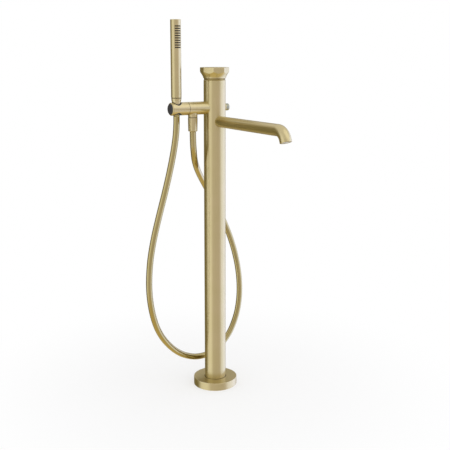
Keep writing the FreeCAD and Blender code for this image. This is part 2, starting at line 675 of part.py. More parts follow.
def make_knob():
    """The glide ring, the stem, the octagonal knob that narrows to a round rim, and its screw."""
    glide_top = "column_top + glide_height"
    glide_outside = "column_radius - glide_inset"
    glide = tube("glide_ring", glide_outside, "stem_radius + running_gap", "column_top", glide_top)
    keep(glide, "glide_ring")
    stem_length = f"{KNOB_LOW} + knob_socket - {STEM_LOW} - 2 * face_gap"
    keep(bar("stem_bar", "stem_radius", stem_length, z=f"{STEM_LOW} + face_gap"), "mixer_stem")

    turn = FreeCAD.Rotation(FreeCAD.Vector(0, 0, 1), measure("knob_angle"))
    rim = bar("knob_rim_bar", KNOB_NECK, "knob_rim", z=KNOB_LOW)
    neck = document.addObject("Part::Circle", "knob_neck")
    bind(neck, "Radius", KNOB_NECK)
    lay(neck, turn, z=f"{KNOB_LOW} + knob_rim")
    octagon = document.addObject("Part::RegularPolygon", "knob_octagon")
    octagon.Polygon = 8
    bind(octagon, "Circumradius", "knob_corner")
    lay(octagon, turn, z=PLATE_LOW)
    flare = document.addObject("Part::Loft", "knob_flare_loft")
    flare.Sections = [neck, octagon]
    flare.Solid = True
    flare.Ruled = True
    plate = document.addObject("Part::Prism", "knob_plate_prism")
    plate.Polygon = 8
    bind(plate, "Circumradius", "knob_corner")
    bind(plate, "Height", "knob_plate")
    lay(plate, turn, z=PLATE_LOW)
    blank = joined("knob_blank", rim, flare, plate)
    document.recompute()
    top = measure(KNOB_TOP)
    edge_size = measure("knob_edge")
    top_edges = []
    for number, edge in enumerate(blank.Shape.Edges, 1):
        if all(abs(vertex.Z - top) < 1e-4 for vertex in edge.Vertexes):
            top_edges.append((number, edge_size, edge_size))
    chamfered = document.addObject("Part::Chamfer", "knob_chamfer")
    chamfered.Base = blank
    chamfered.Edges = top_edges
    socket_radius = "stem_radius + slip_gap"
    screw_height = f"{KNOB_LOW} + screw_rise"
    socket = bar("knob_stem_socket", socket_radius, "knob_socket", z=KNOB_LOW)
    screw_hole = bar("knob_screw_hole", "screw_radius + slip_gap", "knob_corner", TO_BACK, z=screw_height)
    keep(cut("knob_cut", chamfered, socket, screw_hole), "mixer_knob")
    screw = bar("knob_screw_bar", "screw_radius", "screw_length", TO_BACK, y=socket_radius, z=screw_height)
    keep(screw, "knob_screw")


# Spout


def make_spout():
    """The bent spout tube, the nipple that screws it to the valve, and the seal on the nipple."""
    height = measure(SPOUT_AXIS)
    bend = measure("spout_turn")
    turn = math.radians(measure("spout_angle"))
    leg = bend * math.tan(turn / 2)
    corner = FreeCAD.Vector(0, -measure("spout_reach") - leg, height)
    way = FreeCAD.Vector(0, -math.cos(turn), -math.sin(turn))
    end = corner + way * (leg + measure("spout_tail"))
    points = [FreeCAD.Vector(0, -measure(SEAT), height), corner, end]
    path = rounded_path(points, [bend])
    keep_bent(swept(path, measure("spout_radius")).cut(swept(path, measure(SPOUT_BORE))), "spout_tube")

    fitted = f"({SPOUT_BORE} - slip_gap)"
    groove = f"({fitted} - nipple_seal - slip_gap)"
    middle = f"({SEAT} + nipple_length / 2)"
    half = "(nipple_seal / 2 + slip_gap)"
    nipple = turned(
        "spout_nipple",
        [
            ("nipple_bore", PORT),
            ("port_thread", PORT),
            ("port_thread", SEAT),
            (fitted, SEAT),
            (fitted, f"{middle} - {half}"),
            (groove, f"{middle} - {half}"),
            (groove, f"{middle} + {half}"),
            (fitted, f"{middle} + {half}"),
            (fitted, f"{SEAT} + nipple_length"),
            ("nipple_bore", f"{SEAT} + nipple_length"),
        ],
    )
    keep(lay(nipple, TO_FRONT, z=SPOUT_AXIS), "spout_nipple")
    seal = ring_seal("spout_seal", "nipple_seal", f"{fitted} - nipple_seal / 2")
    keep(lay(seal, TO_FRONT, y=f"-{middle}", z=SPOUT_AXIS), "spout_seal")


def make_aerator():
    """The housing in the spout's mouth and the insert with its two rings of holes."""
    turned_way = FreeCAD.Rotation(FreeCAD.Vector(1, 0, 0), 90 + measure("spout_angle"))
    run = "(spout_tail + aerator_proud)"
    mouth_y = f"-(spout_reach + spout_turn * sin(spout_angle) + {run} * cos(spout_angle))"
    mouth_z = f"{SPOUT_AXIS} - spout_turn * (1 - cos(spout_angle)) - {run} * sin(spout_angle)"
    outside = f"{SPOUT_BORE} - slip_gap"
    inside = f"({outside} - aerator_wall)"
    back = "(insert_recess + insert_height)"
    housing = turned(
        "aerator_housing",
        [
            (inside, "0"),
            (outside, "0"),
            (outside, f"-{run}"),
            (f"{inside} - aerator_shelf", f"-{run}"),
            (f"{inside} - aerator_shelf", f"-{back}"),
            (inside, f"-{back}"),
        ],
    )
    keep(lay(housing, turned_way, y=mouth_y, z=mouth_z), "aerator_housing")
    disc = f"{inside} - slip_gap"
    outline = [("0", "0"), (disc, "0"), (disc, "insert_height"), ("0", "insert_height")]
    insert = turned("aerator_insert", outline)
    drill(insert, "insert_inner", "insert_inner_ring", "insert_hole", "insert_height", "6")
    drill(insert, "insert_outer", "insert_outer_ring", "insert_hole", "insert_height", "12")
    back_y = f"{mouth_y} + {back} * cos(spout_angle)"
    back_z = f"{mouth_z} + {back} * sin(spout_angle)"
    keep(lay(insert, turned_way, y=back_y, z=back_z), "aerator_insert")


# Arm


def make_arm():
    """The fixed arm: core with the waterway, sleeve, seam washer and the holder's spindle."""
    core_radius = f"({ARM_BORE} - slip_gap)"
    socket = "spindle_thread + slip_gap"
    thread_start = "(arm_end - thread_length)"
    core = turned(
        "arm_core_blank",
        [
            ("0", OUTLET),
            ("arm_bore", OUTLET),
            ("arm_bore", PORT),
            ("port_thread", PORT),
            ("port_thread", SEAT),
            (core_radius, SEAT),
            (core_radius, "arm_end"),
            (socket, "arm_end"),
            (socket, thread_start),
            ("0", thread_start),
        ],
    )
    lay(core, TO_LEFT, z=ARM_AXIS)
    x = f"-{OUTLET}"
    thread_top = f"{ARM_AXIS} - outlet_depth"
    thread_hole = bar("core_outlet_hole", "hose_thread + slip_gap", "arm_radius", DOWN, x, z=thread_top)
    way = bar("core_outlet_way", "arm_bore", "outlet_depth", DOWN, x, z=ARM_AXIS)
    keep(cut("arm_core_cut", core, thread_hole, way), "arm_core")

    sleeve = tube("arm_sleeve_blank", "arm_radius", ARM_BORE, SEAT, "arm_end")
    lay(sleeve, TO_LEFT, z=ARM_AXIS)
    sleeve_hole = bar("sleeve_outlet_hole", "hose_thread + slip_gap", "2 * arm_radius", DOWN, x, z=ARM_AXIS)
    keep(cut("arm_sleeve_cut", sleeve, sleeve_hole), "arm_sleeve")

    washer_end = "arm_end + washer_thickness"
    washer_bore = "spindle_radius + slip_gap"
    washer = tube("arm_washer", "arm_radius - washer_inset", washer_bore, "arm_end", washer_end)
    keep(lay(washer, TO_LEFT, z=ARM_AXIS), "arm_washer")

    groove_end = f"{GROOVE} + 2 * (screw_radius + groove_play)"
    spindle_end = "arm_end + spindle_length"
    spindle = turned(
        "holder_spindle",
        [
            ("0", thread_start),
            ("spindle_thread", thread_start),
            ("spindle_thread", "arm_end"),
            ("spindle_radius", "arm_end"),
            ("spindle_radius", GROOVE),
            ("groove_radius", GROOVE),
            ("groove_radius", groove_end),
            ("spindle_radius", groove_end),
            ("spindle_radius", spindle_end),
            ("0", spindle_end),
        ],
    )
    keep(lay(spindle, TO_LEFT, z=ARM_AXIS), "holder_spindle")


def make_outlet():
    """The hose outlet under the arm: nipple with its neck, check valve, washer and hose nut."""
    x = f"-{OUTLET}"
    neck_height = f"{ARM_AXIS} - {OUTLET_FACE}"
    thread_height = f"{ARM_AXIS} - outlet_depth - {THREAD_END}"
    neck = bar("outlet_neck", "hose_thread + neck_wall", neck_height, x=x, z=OUTLET_FACE)
    saddle = bar("outlet_saddle", "arm_radius + slip_gap", "2 * arm_end", TO_LEFT, z=ARM_AXIS)
    thread = bar("outlet_thread", "hose_thread", thread_height, x=x, z=THREAD_END)
    blank = joined("outlet_blank", cut("outlet_neck_cut", neck, saddle), thread)
    bore = bar("outlet_way", "arm_bore", thread_height, x=x, z=THREAD_END)
    chamber = bar("outlet_check_chamber", "check_radius + slip_gap", "check_length", x=x, z=THREAD_END)
    keep(cut("outlet_nipple_cut", blank, bore, chamber), "outlet_nipple")

    check = tube("check_valve", "check_radius", "check_bore", THREAD_END, f"{THREAD_END} + check_length")
    keep(lay(check, x=x), "check_valve")
    shelf = f"{THREAD_END} - hose_washer"
    keep(lay(tube("outlet_washer", "hose_thread", "outlet_bore", shelf, THREAD_END), x=x), "outlet_washer")
    nut = turned(
        "outlet_nut",
        [
            ("outlet_bore", NUT_LOW),
            ("nut_end_radius - nut_edge", NUT_LOW),
            ("nut_end_radius", f"{NUT_LOW} + nut_edge"),
            ("hose_thread + nut_wall", OUTLET_FACE),
            ("hose_thread + slip_gap", OUTLET_FACE),
            ("hose_thread + slip_gap", shelf),
            ("outlet_bore", shelf),
        ],
    )
    keep(lay(nut, x=x), "outlet_nut")


def make_hose():
    """The hose, from the outlet nut, round behind the column, to just under the holder."""
    start = FreeCAD.Vector(-measure(OUTLET), 0, measure(NUT_LOW))
    end = FreeCAD.Vector(-measure(HANDSET), 0, measure(f"{ARM_AXIS} - arm_radius - hose_clearance"))
    lead = start - FreeCAD.Vector(0, 0, HOSE_LEAD)
    rise = end - FreeCAD.Vector(0, 0, HOSE_RISE)
    route = [FreeCAD.Vector(*place) for place in HOSE_ROUTE]
    points = [start, lead, *route, rise, end]
    radii = []
    for before, here, after in zip(points, points[1:], points[2:]):
        shorter = min(before.distanceToPoint(here), here.distanceToPoint(after))
        turn = (here - before).getAngle(after - here)
        radii.append(HOSE_ARC * shorter / math.tan(turn / 2))
    path = rounded_path(points, radii)
    radius = measure("hose_radius")
    hose = swept(path, radius)
    print("hose radii", [round(value) for value in radii])
    print("hose length", round(path.Length, 1))
    section = math.pi * radius**2
    print("hose volume over section times length", round(hose.Volume / (section * path.Length), 5))
    keep_bent(hose, "hose")


# Holder


def make_holder():
    """The barrel that swivels on the arm, its screw, liner and end plug, and the slack stretch of hose."""
    start = "(arm_end + washer_thickness + face_gap)"
    pocket_end = "arm_end + spindle_length + face_gap"
    barrel = turned(
        "holder_blank",
        [
            ("0", pocket_end),
            ("spindle_radius + running_gap", pocket_end),
            ("spindle_radius + running_gap", start),
            ("arm_radius - holder_edge", start),
            ("arm_radius", f"{start} + holder_edge"),
            ("arm_radius", HOLDER_END),
            ("plug_radius + slip_gap", HOLDER_END),
            ("plug_radius + slip_gap", PLUG_SEAT),
            ("0", PLUG_SEAT),
        ],
    )
    round_over(barrel, "arm_radius", HOLDER_END, "holder_round")
    lay(barrel, TO_LEFT, z=ARM_AXIS)
    x = f"-{HANDSET}"
    screw_x = f"-{GROOVE_MIDDLE}"
    cradle_low = f"{ARM_AXIS} - arm_radius"
    cradle = bar("holder_cradle", f"{LINER_RADIUS} + slip_gap", "2 * arm_radius", x=x, z=cradle_low)
    screw_hole = bar("holder_screw_hole", "screw_radius + slip_gap", "arm_radius", DOWN, screw_x, z=ARM_AXIS)
    keep(cut("holder_cut", barrel, cradle, screw_hole), "holder_barrel")
    tip = "(groove_radius + face_gap)"
    screw_length = f"arm_radius - screw_sink - {tip}"
    screw = bar("holder_screw_bar", "screw_radius", screw_length, DOWN, screw_x, z=f"{ARM_AXIS} - {tip}")
    keep(screw, "holder_screw")

    bore = f"{COLLAR} + liner_gap"
    mouth = f"{WAIST} + liner_gap"
    liner_top = f"{ARM_AXIS} + arm_radius"
    taper_low = f"{ARM_AXIS} + liner_rise"
    sleeve = turned(
        "liner_blank",
        [
            (bore, cradle_low),
            (LINER_RADIUS, cradle_low),
            (LINER_RADIUS, liner_top),
            (mouth, liner_top),
            (mouth, f"{taper_low} + liner_taper"),
            (bore, taper_low),
        ],
    )
    lay(sleeve, x=x)
    trim_x = f"{LINER_RADIUS} - {HANDSET}"
    trim = bar("liner_trim", "arm_radius - liner_inset", f"2 * {LINER_RADIUS}", TO_LEFT, trim_x, z=ARM_AXIS)
    liner = document.addObject("Part::Common", "liner_common")
    liner.Base = sleeve
    liner.Tool = trim
    keep(liner, "holder_liner")

    plug_end = f"{HOLDER_END} + plug_proud"
    outline = [("0", PLUG_SEAT), ("plug_radius", PLUG_SEAT), ("plug_radius", plug_end), ("0", plug_end)]
    plug = turned("end_plug", outline)
    round_over(plug, "plug_radius", plug_end, "plug_round")
    keep(lay(plug, TO_LEFT, z=ARM_AXIS), "end_plug")

    slack_low = f"{ARM_AXIS} - slack_drop"
    slack_top = f"{CORE_LOW} + core_socket - slack_margin"
    slack = tube("hose_slack", "hose_radius", "hose_radius - slack_wall", slack_low, slack_top)
    keep(lay(slack, x=x), "hose_slack")


# Cone nut and handset


def make_cone_nut():
    """The cone nut that sits in the holder, the hose's swivel ring inside it and the washer above."""
    x = f"-{HANDSET}"
    thread = "hose_thread + slip_gap"
    groove = f"{RING_RADIUS} + face_gap"
    cone_low = f"{ARM_AXIS} - cone_drop"
    nut = turned(
        "cone_nut",
        [
            (CONE_BORE, cone_low),
            (COLLAR, cone_low),
            (COLLAR, f"{ARM_AXIS} + cone_rise"),
            (WAIST, f"{ARM_AXIS} + arm_radius"),
            ("hose_thread + cone_wall", f"{ARM_AXIS} + swell_rise"),
            ("handset_radius", f"{SEAM} - seam_edge"),
            ("handset_radius - seam_edge", SEAM),
            (thread, SEAM),
            (thread, RING_TOP),
            (groove, RING_TOP),
            (groove, RING_LOW),
            (CONE_BORE, RING_LOW),
        ],
    )
    keep(lay(nut, x=x), "cone_nut")
    ring_bore = "hose_radius + ring_play"
    ring = tube("swivel_ring", RING_RADIUS, ring_bore, f"{RING_LOW} + face_gap", f"{RING_TOP} - face_gap")
    keep(lay(ring, x=x), "hose_swivel_ring")
    washer = tube("handset_washer", "hose_thread", CONE_BORE, RING_TOP, f"{RING_TOP} + hose_washer")
    keep(lay(washer, x=x), "handset_washer")


def make_handset():
    """The handset: threaded connector, slotted tube, core with the waterway, nozzle strip and cap."""
    x = f"-{HANDSET}"
    thread_low = f"{RING_TOP} + hose_washer"
    connector = turned(
        "handset_connector",
        [
            (CONE_BORE, thread_low),
            ("hose_thread", thread_low),
            ("hose_thread", SEAM),
            (HANDSET_FIT, SEAM),
            (HANDSET_FIT, CORE_LOW),
            (CONE_BORE, CORE_LOW),
        ],
    )
    keep(lay(connector, x=x), "handset_connector")

    blank = turned(
        "handset_blank",
        [
            (HANDSET_BORE, SEAM),
            ("handset_radius - seam_edge", SEAM),
            ("handset_radius", f"{SEAM} + seam_edge"),
            ("handset_radius", f"{HANDSET_TOP} - handset_edge"),
            ("handset_radius - handset_edge", HANDSET_TOP),
            (HANDSET_BORE, HANDSET_TOP),
        ],
    )
    lay(blank, x=x)
    slots = []
    strip_pieces = []
    for row in range(round(measure("slot_count"))):
        middle = f"{HANDSET_TOP} - slot_margin - {row} * slot_pitch"
        slot_low = f"{middle} - slot_height / 2"
        slots.append(wedge(f"slot_{row}", "2 * handset_radius", "slot_height", "slot_spread", slot_low))
        for place in (-1, 0, 1):
            angle = f"({place} * nozzle_turn)"
            spin = FreeCAD.Rotation(FreeCAD.Vector(0, 0, 1), place * measure("nozzle_turn"))
            nozzle_x = f"{NOZZLE_ROOT} * sin{angle} - {HANDSET}"
            nozzle_y = f"-{NOZZLE_ROOT} * cos{angle}"
            name = f"nozzle_{row}_{place + 1}"
            length = f"{NOZZLE_TIP} - {NOZZLE_ROOT}"
            turn = spin * TO_FRONT
            strip_pieces.append(bar(name, "nozzle_radius", length, turn, nozzle_x, nozzle_y, middle))
    keep(cut("handset_tube_cut", blank, *slots), "handset_tube")

    plate = wedge("strip_wedge", HANDSET_FIT, STRIP_HEIGHT, "strip_spread", STRIP_LOW)
    hollow = bar("strip_hollow", STRIP_RADIUS, STRIP_HEIGHT, x=x, z=STRIP_LOW)
    keep(joined("strip_fuse", cut("strip_cut", plate, hollow), *strip_pieces), "nozzle_strip")

    bore_low = f"{CORE_LOW} + core_socket"
    waist_low = f"{CORE_LOW} + core_collar"
    waist_top = f"{STRIP_TOP} + face_gap"
    core = turned(
        "core_blank",
        [
            (CONE_BORE, CORE_LOW),
            (HANDSET_FIT, CORE_LOW),
            (HANDSET_FIT, waist_low),
            (CORE_WAIST, waist_low),
            (CORE_WAIST, waist_top),
            (HANDSET_FIT, waist_top),
            (HANDSET_FIT, CAP_LOW),
            ("0", CAP_LOW),
            ("0", waist_top),
            ("core_bore", waist_top),
            ("core_bore", bore_low),
            (CONE_BORE, bore_low),
        ],
    )
    lay(core, x=x)
    window = wedge("core_window", STRIP_RADIUS, STRIP_HEIGHT, "slot_spread / 2", STRIP_LOW)
    keep(cut("core_cut", core, window), "handset_core")

    cap_top = f"{HANDSET_TOP} - cap_inset"
    outline = [("0", CAP_LOW), (HANDSET_FIT, CAP_LOW), (HANDSET_FIT, cap_top), ("0", cap_top)]
    cap = turned("handset_cap", outline)
    keep(lay(cap, x=x), "handset_cap")


# Diverter


def make_diverter():
    """The diverter: a bush in the column's side, the stem with its head and seal, and the knob."""
    guide = "rod_radius + running_gap"
    bush = turned(
        "diverter_bush",
        [
            (guide, PORT),
            ("bush_thread", PORT),
            ("bush_thread", BUSH_SEAT),
            ("bush_radius", BUSH_SEAT),
            ("bush_radius", BUSH_END),
            (guide, BUSH_END),
        ],
    )
    keep(lay(bush, TO_RIGHT, z=ARM_AXIS), "diverter_bush")
    middle = f"({HEAD_START} + head_length / 2)"
    half = "(head_seal / 2 + slip_gap)"
    rod_end = f"({BUSH_END} + rod_grip)"
    stem = turned(
        "diverter_stem",
        [
            ("0", HEAD_START),
            ("head_radius", HEAD_START),
            ("head_radius", f"{middle} - {half}"),
            ("head_groove", f"{middle} - {half}"),
            ("head_groove", f"{middle} + {half}"),
            ("head_radius", f"{middle} + {half}"),
            ("head_radius", HEAD_END),
            ("rod_radius", HEAD_END),
            ("rod_radius", rod_end),
            ("0", rod_end),
        ],
    )
    keep(lay(stem, TO_RIGHT, z=ARM_AXIS), "diverter_stem")
    seal = ring_seal("diverter_seal", "head_seal", "head_groove + slip_gap + head_seal / 2")
    keep(lay(seal, TO_RIGHT, x=middle, z=ARM_AXIS), "diverter_seal")
    knob_start = f"({BUSH_END} + face_gap)"
    knob_end = f"{knob_start} + pull_length"
    knob = turned(
        "diverter_knob",
        [
            ("0", rod_end),
            ("rod_radius + slip_gap", rod_end),
            ("rod_radius + slip_gap", knob_start),
            ("pull_radius", knob_start),
            ("pull_radius", knob_end),
            ("0", knob_end),
        ],
    )
    round_over(knob, "pull_radius", knob_end, "pull_round")
    keep(lay(knob, TO_RIGHT, z=ARM_AXIS), "diverter_knob")


make_floor_plate()
make_base_cover()
make_column_tube()
make_supply_pipes()
make_valve_body()
make_cartridge()
make_knob()
make_spout()
make_aerator()
make_arm()
make_outlet()
make_hose()
make_holder()
make_cone_nut()
make_handset()
make_diverter()
document.recompute()

for thing in document.Objects:
    if "Invalid" in thing.State or "Error" in thing.State:
        raise RuntimeError(f"{thing.Name} failed: {thing.State}")
for thing in kept:
    if thing.Shape.isNull() or not thing.Shape.isValid():
        raise RuntimeError(f"{thing.Label} has no valid shape")

os.makedirs("parts", exist_ok=True)
for thing in kept:
    thing.Shape.exportStep(f"parts/{thing.Label}.step")
    print(thing.Label, len(thing.Shape.Solids), round(thing.Shape.Volume))
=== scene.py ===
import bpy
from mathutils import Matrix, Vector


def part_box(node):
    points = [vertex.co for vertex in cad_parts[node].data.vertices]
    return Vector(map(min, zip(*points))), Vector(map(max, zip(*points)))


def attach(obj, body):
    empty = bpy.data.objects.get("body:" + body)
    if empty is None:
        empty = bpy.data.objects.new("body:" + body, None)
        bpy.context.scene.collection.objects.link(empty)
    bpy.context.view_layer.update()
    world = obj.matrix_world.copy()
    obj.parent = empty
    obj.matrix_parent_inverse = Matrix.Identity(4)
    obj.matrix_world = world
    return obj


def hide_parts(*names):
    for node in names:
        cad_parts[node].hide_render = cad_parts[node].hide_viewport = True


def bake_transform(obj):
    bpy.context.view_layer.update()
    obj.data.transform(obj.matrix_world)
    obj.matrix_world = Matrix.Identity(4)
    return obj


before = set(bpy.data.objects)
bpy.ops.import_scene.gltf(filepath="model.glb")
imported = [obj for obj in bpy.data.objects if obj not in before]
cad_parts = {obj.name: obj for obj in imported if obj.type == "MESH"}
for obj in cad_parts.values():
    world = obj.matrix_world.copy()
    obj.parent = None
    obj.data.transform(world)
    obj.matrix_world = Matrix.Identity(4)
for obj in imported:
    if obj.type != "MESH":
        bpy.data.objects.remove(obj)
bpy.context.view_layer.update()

import math

import bmesh
import bpy
import numpy as np
from bpy.props import FloatProperty, FloatVectorProperty, PointerProperty
from bpy.types import Operator, Panel, PropertyGroup
from mathutils import Vector

bl_info = {
    "name": "Floor standing bath filler",
    "version": (1, 0, 0),
    "blender": (4, 5, 0),
    "location": "3D View > Sidebar > Bath filler",
    "description": "Dresses the packed frame of a floor standing bath filler in brushed brass",
    "category": "Add Mesh",
}

MM = 0.001
TAU = 2 * math.pi
ROUND = 96  # points round a turned piece
HOSE_ROUND = 32  # points round the hose
STRIP_TURNS = 620  # turns of the hose's strip in a metre
SHUT = 0.0001  # width of the last ring of a closed end, as a share of the tube's radius
SAME_PLACE = 2e-6  # points that are no further apart than this, in metres, become one

# The hose's route, the same points as in the part's source, in metres: from the nut under the arm behind
# the column to the right, down in a wide loop that nearly reaches the floor, and up on the left into the
# holder.
HOSE_ROUTE = [
    (-0.064, 0, 0.6865),
    (-0.064, 0, 0.662),
    (-0.0595, 0.005, 0.637),
    (-0.049, 0.019, 0.608),
    (-0.024, 0.047, 0.5755),
    (0.017, 0.081, 0.5305),
    (0.0745, 0.1025, 0.452),
    (0.116, 0.0985, 0.357),
    (0.132, 0.086, 0.262),
    (0.1235, 0.074, 0.178),
    (0.0935, 0.065, 0.114),
    (0.0575, 0.0595, 0.0795),
    (0.0195, 0.055, 0.063),
    (-0.0095, 0.0515, 0.0595),
    (-0.047, 0.0475, 0.0655),
    (-0.0945, 0.041, 0.09),
    (-0.1435, 0.0305, 0.142),
    (-0.1725, 0.02, 0.1995),
    (-0.191, 0.0075, 0.2765),
    (-0.1925, -0.0015, 0.3535),
    (-0.1825, -0.0055, 0.4185),
    (-0.165, -0.0065, 0.483),
    (-0.1455, -0.005, 0.544),
    (-0.1265, -0.0015, 0.608),
    (-0.1145, 0, 0.6615),
    (-0.11, 0, 0.7),
    (-0.11, 0, 0.7274),
]


def node_box(name):
    """The lowest and highest corner of a CAD node, as two arrays."""
    low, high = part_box(name)
    return np.array(low), np.array(high)


def node_middle(name):
    """The middle of a CAD node's box."""
    low, high = node_box(name)
    return (low + high) / 2


# ---------------------------------------------------------------- sizes and colours


class FillerSizes(PropertyGroup):
    """Sizes that the looks add to the frame."""

    knob_softness: FloatProperty(
        name="Knob corner sharpness",
        description="Power that the knob's faces are joined with: the higher, the sharper its edges",
        default=110,
        min=8,
        max=400,
    )
    knob_cove: FloatProperty(
        name="Knob cove",
        description="Power of the taper under the knob's plate: 1 is straight, more is hollower",
        default=1.3,
        min=1,
        max=3,
    )
    knob_corner: FloatProperty(
        name="Knob corner radius",
        description="From the knob's axis to a corner of its plate",
        default=37.2 * MM,
        unit="LENGTH",
        subtype="DISTANCE",
    )
    knob_rim: FloatProperty(
        name="Knob rim radius",
        description="Radius of the round rim under the knob",
        default=28.8 * MM,
        unit="LENGTH",
        subtype="DISTANCE",
    )
    knob_plate: FloatProperty(
        name="Knob plate",
        description="Height of the upright wall of the knob's plate",
        default=11 * MM,
        unit="LENGTH",
        subtype="DISTANCE",
    )
    knob_turn: FloatProperty(
        name="Knob turn",
        description="Angle of a corner of the knob's plate, away from the diverter's side",
        default=math.radians(11),
        subtype="ANGLE",
    )
    edge: FloatProperty(
        name="Plate edge",
        description="How far the knob plate's upper edge is rounded",
        default=0.7 * MM,
        unit="LENGTH",
        subtype="DISTANCE",
    )
    spout_bend: FloatProperty(
        name="Spout bend",
        description="Radius of the spout's bend, along the tube's axis",
        default=30.5 * MM,
        unit="LENGTH",
        subtype="DISTANCE",
    )
    spout_turn: FloatProperty(
        name="Spout turn",
        description="How far the spout's end is turned down",
        default=math.radians(71),
        subtype="ANGLE",
    )
    spout_tail: FloatProperty(
        name="Spout tail",
        description="Straight end of the spout after its bend",
        default=5 * MM,
        unit="LENGTH",
        subtype="DISTANCE",
    )
    spout_wall: FloatProperty(
        name="Spout wall",
        description="Thickness of the spout's tube",
        default=1.4 * MM,
        unit="LENGTH",
        subtype="DISTANCE",
    )
    hose_diameter: FloatProperty(
        name="Hose diameter",
        description="Outside diameter of the hose",
        default=16 * MM,
        unit="LENGTH",
        subtype="DISTANCE",
    )


class FillerColours(PropertyGroup):
    """Base colours of the finishes, and of the painted shade in seams and under the knob, linear red, green
    and blue.
    """

    brass: FloatVectorProperty(
        name="Brushed brass", description="The outside finish", subtype="COLOR", default=(0.64, 0.55, 0.31)
    )
    button: FloatVectorProperty(
        name="Pale brass", description="The diverter's button", subtype="COLOR", default=(0.36, 0.37, 0.30)
    )
    raw_brass: FloatVectorProperty(
        name="Raw brass", description="The hidden turned parts", subtype="COLOR", default=(0.66, 0.49, 0.22)
    )
    steel: FloatVectorProperty(
        name="Steel", description="Floor plate and screws", subtype="COLOR", default=(0.56, 0.56, 0.55)
    )
    copper: FloatVectorProperty(
        name="Copper", description="The two supply pipes", subtype="COLOR", default=(0.72, 0.36, 0.22)
    )
    white: FloatVectorProperty(
        name="White plastic",
        description="Cartridge and aerator",
        subtype="COLOR",
        default=(0.72, 0.72, 0.69),
    )
    # painted shade: the colour that darkens the seams, where shade falls
    seam_shade: FloatVectorProperty(
        name="Painted seam shade", description="Painted shade in the seams", subtype="COLOR", default=(0.07, 0.05, 0.022)
    )
    black: FloatVectorProperty(
        name="Black plastic",
        description="End plug, liner and washer of the arm",
        subtype="COLOR",
        default=(0.030, 0.031, 0.040),
    )
    # painted shade: this dark tone of the ring under the knob stands in for the shade in the gap there
    glide_shade: FloatVectorProperty(
        name="Glide ring", description="Ring under the knob", subtype="COLOR", default=(0.34, 0.27, 0.11)
    )
    rubber: FloatVectorProperty(
        name="Black rubber",
        description="Seals and spray nozzles",
        subtype="COLOR",
        default=(0.055, 0.045, 0.032),
    )
    hose: FloatVectorProperty(
        name="Hose sheath",
        description="The hose's gold sheath",
        subtype="COLOR",
        default=(0.46, 0.38, 0.155),
    )


class FillerView(PropertyGroup):
    """Where the photograph was taken from."""

    place: FloatVectorProperty(
        name="Camera place",
        description="Where the camera stands",
        subtype="TRANSLATION",
        unit="LENGTH",
        default=(-1.0355, -1.7472, 0.887),
    )
    turn: FloatProperty(
        name="Turn",
        description="How far the camera is turned to the right",
        subtype="ANGLE",
        default=math.radians(31.399),
    )
    tilt: FloatProperty(
        name="Tilt",
        description="How far the camera looks down",
        subtype="ANGLE",
        default=math.radians(10.541),
    )
    lens: FloatProperty(name="Lens", description="Focal length in millimetres", default=63.482)
    shift: FloatProperty(name="Shift", description="How far the picture is shifted upwards", default=-0.06)


# ---------------------------------------------------------------- shader maths


class Value:
    """A number that changes over a surface. Each sign adds one Math node."""

    def __init__(self, tree, socket):
        self.tree = tree
        self.socket = socket

    def math(self, operation, *others, clamp=False):
        settings = {"operation": operation, "use_clamp": clamp}
        return self.tree.node("ShaderNodeMath", settings, dict(enumerate(others))).value()

    def __add__(self, other):
        return self.math("ADD", self, other)

    def __radd__(self, other):
        return self.math("ADD", other, self)

    def __sub__(self, other):
        return self.math("SUBTRACT", self, other)

    def __rsub__(self, other):
        return self.math("SUBTRACT", other, self)

    def __mul__(self, other):
        return self.math("MULTIPLY", self, other)

    def __rmul__(self, other):
        return self.math("MULTIPLY", other, self)

    def __truediv__(self, other):
        return self.math("DIVIDE", self, other)

    def __rtruediv__(self, other):
        return self.math("DIVIDE", other, self)

    def __pow__(self, other):
        return self.math("POWER", self, other)

    def clamped(self):
        return self.math("ADD", self, 0, clamp=True)

    def between(self, low, high):
        """0 below low, 1 above high, and a smooth step between."""
        settings = {"interpolation_type": "SMOOTHSTEP"}
        sockets = {"Value": self, "From Min": low, "From Max": high}
        return self.tree.node("ShaderNodeMapRange", settings, sockets).value("Result")


class Added:
    """A node that was added, and its outputs."""

    def __init__(self, tree, node):
        self.tree = tree
        self.node = node

    def out(self, name=0):
        if isinstance(name, int):
            return self.node.outputs[name]
        return next(s for s in self.node.outputs if name in (s.identifier, s.name))

    def value(self, name=0):
        return Value(self.tree, self.out(name))


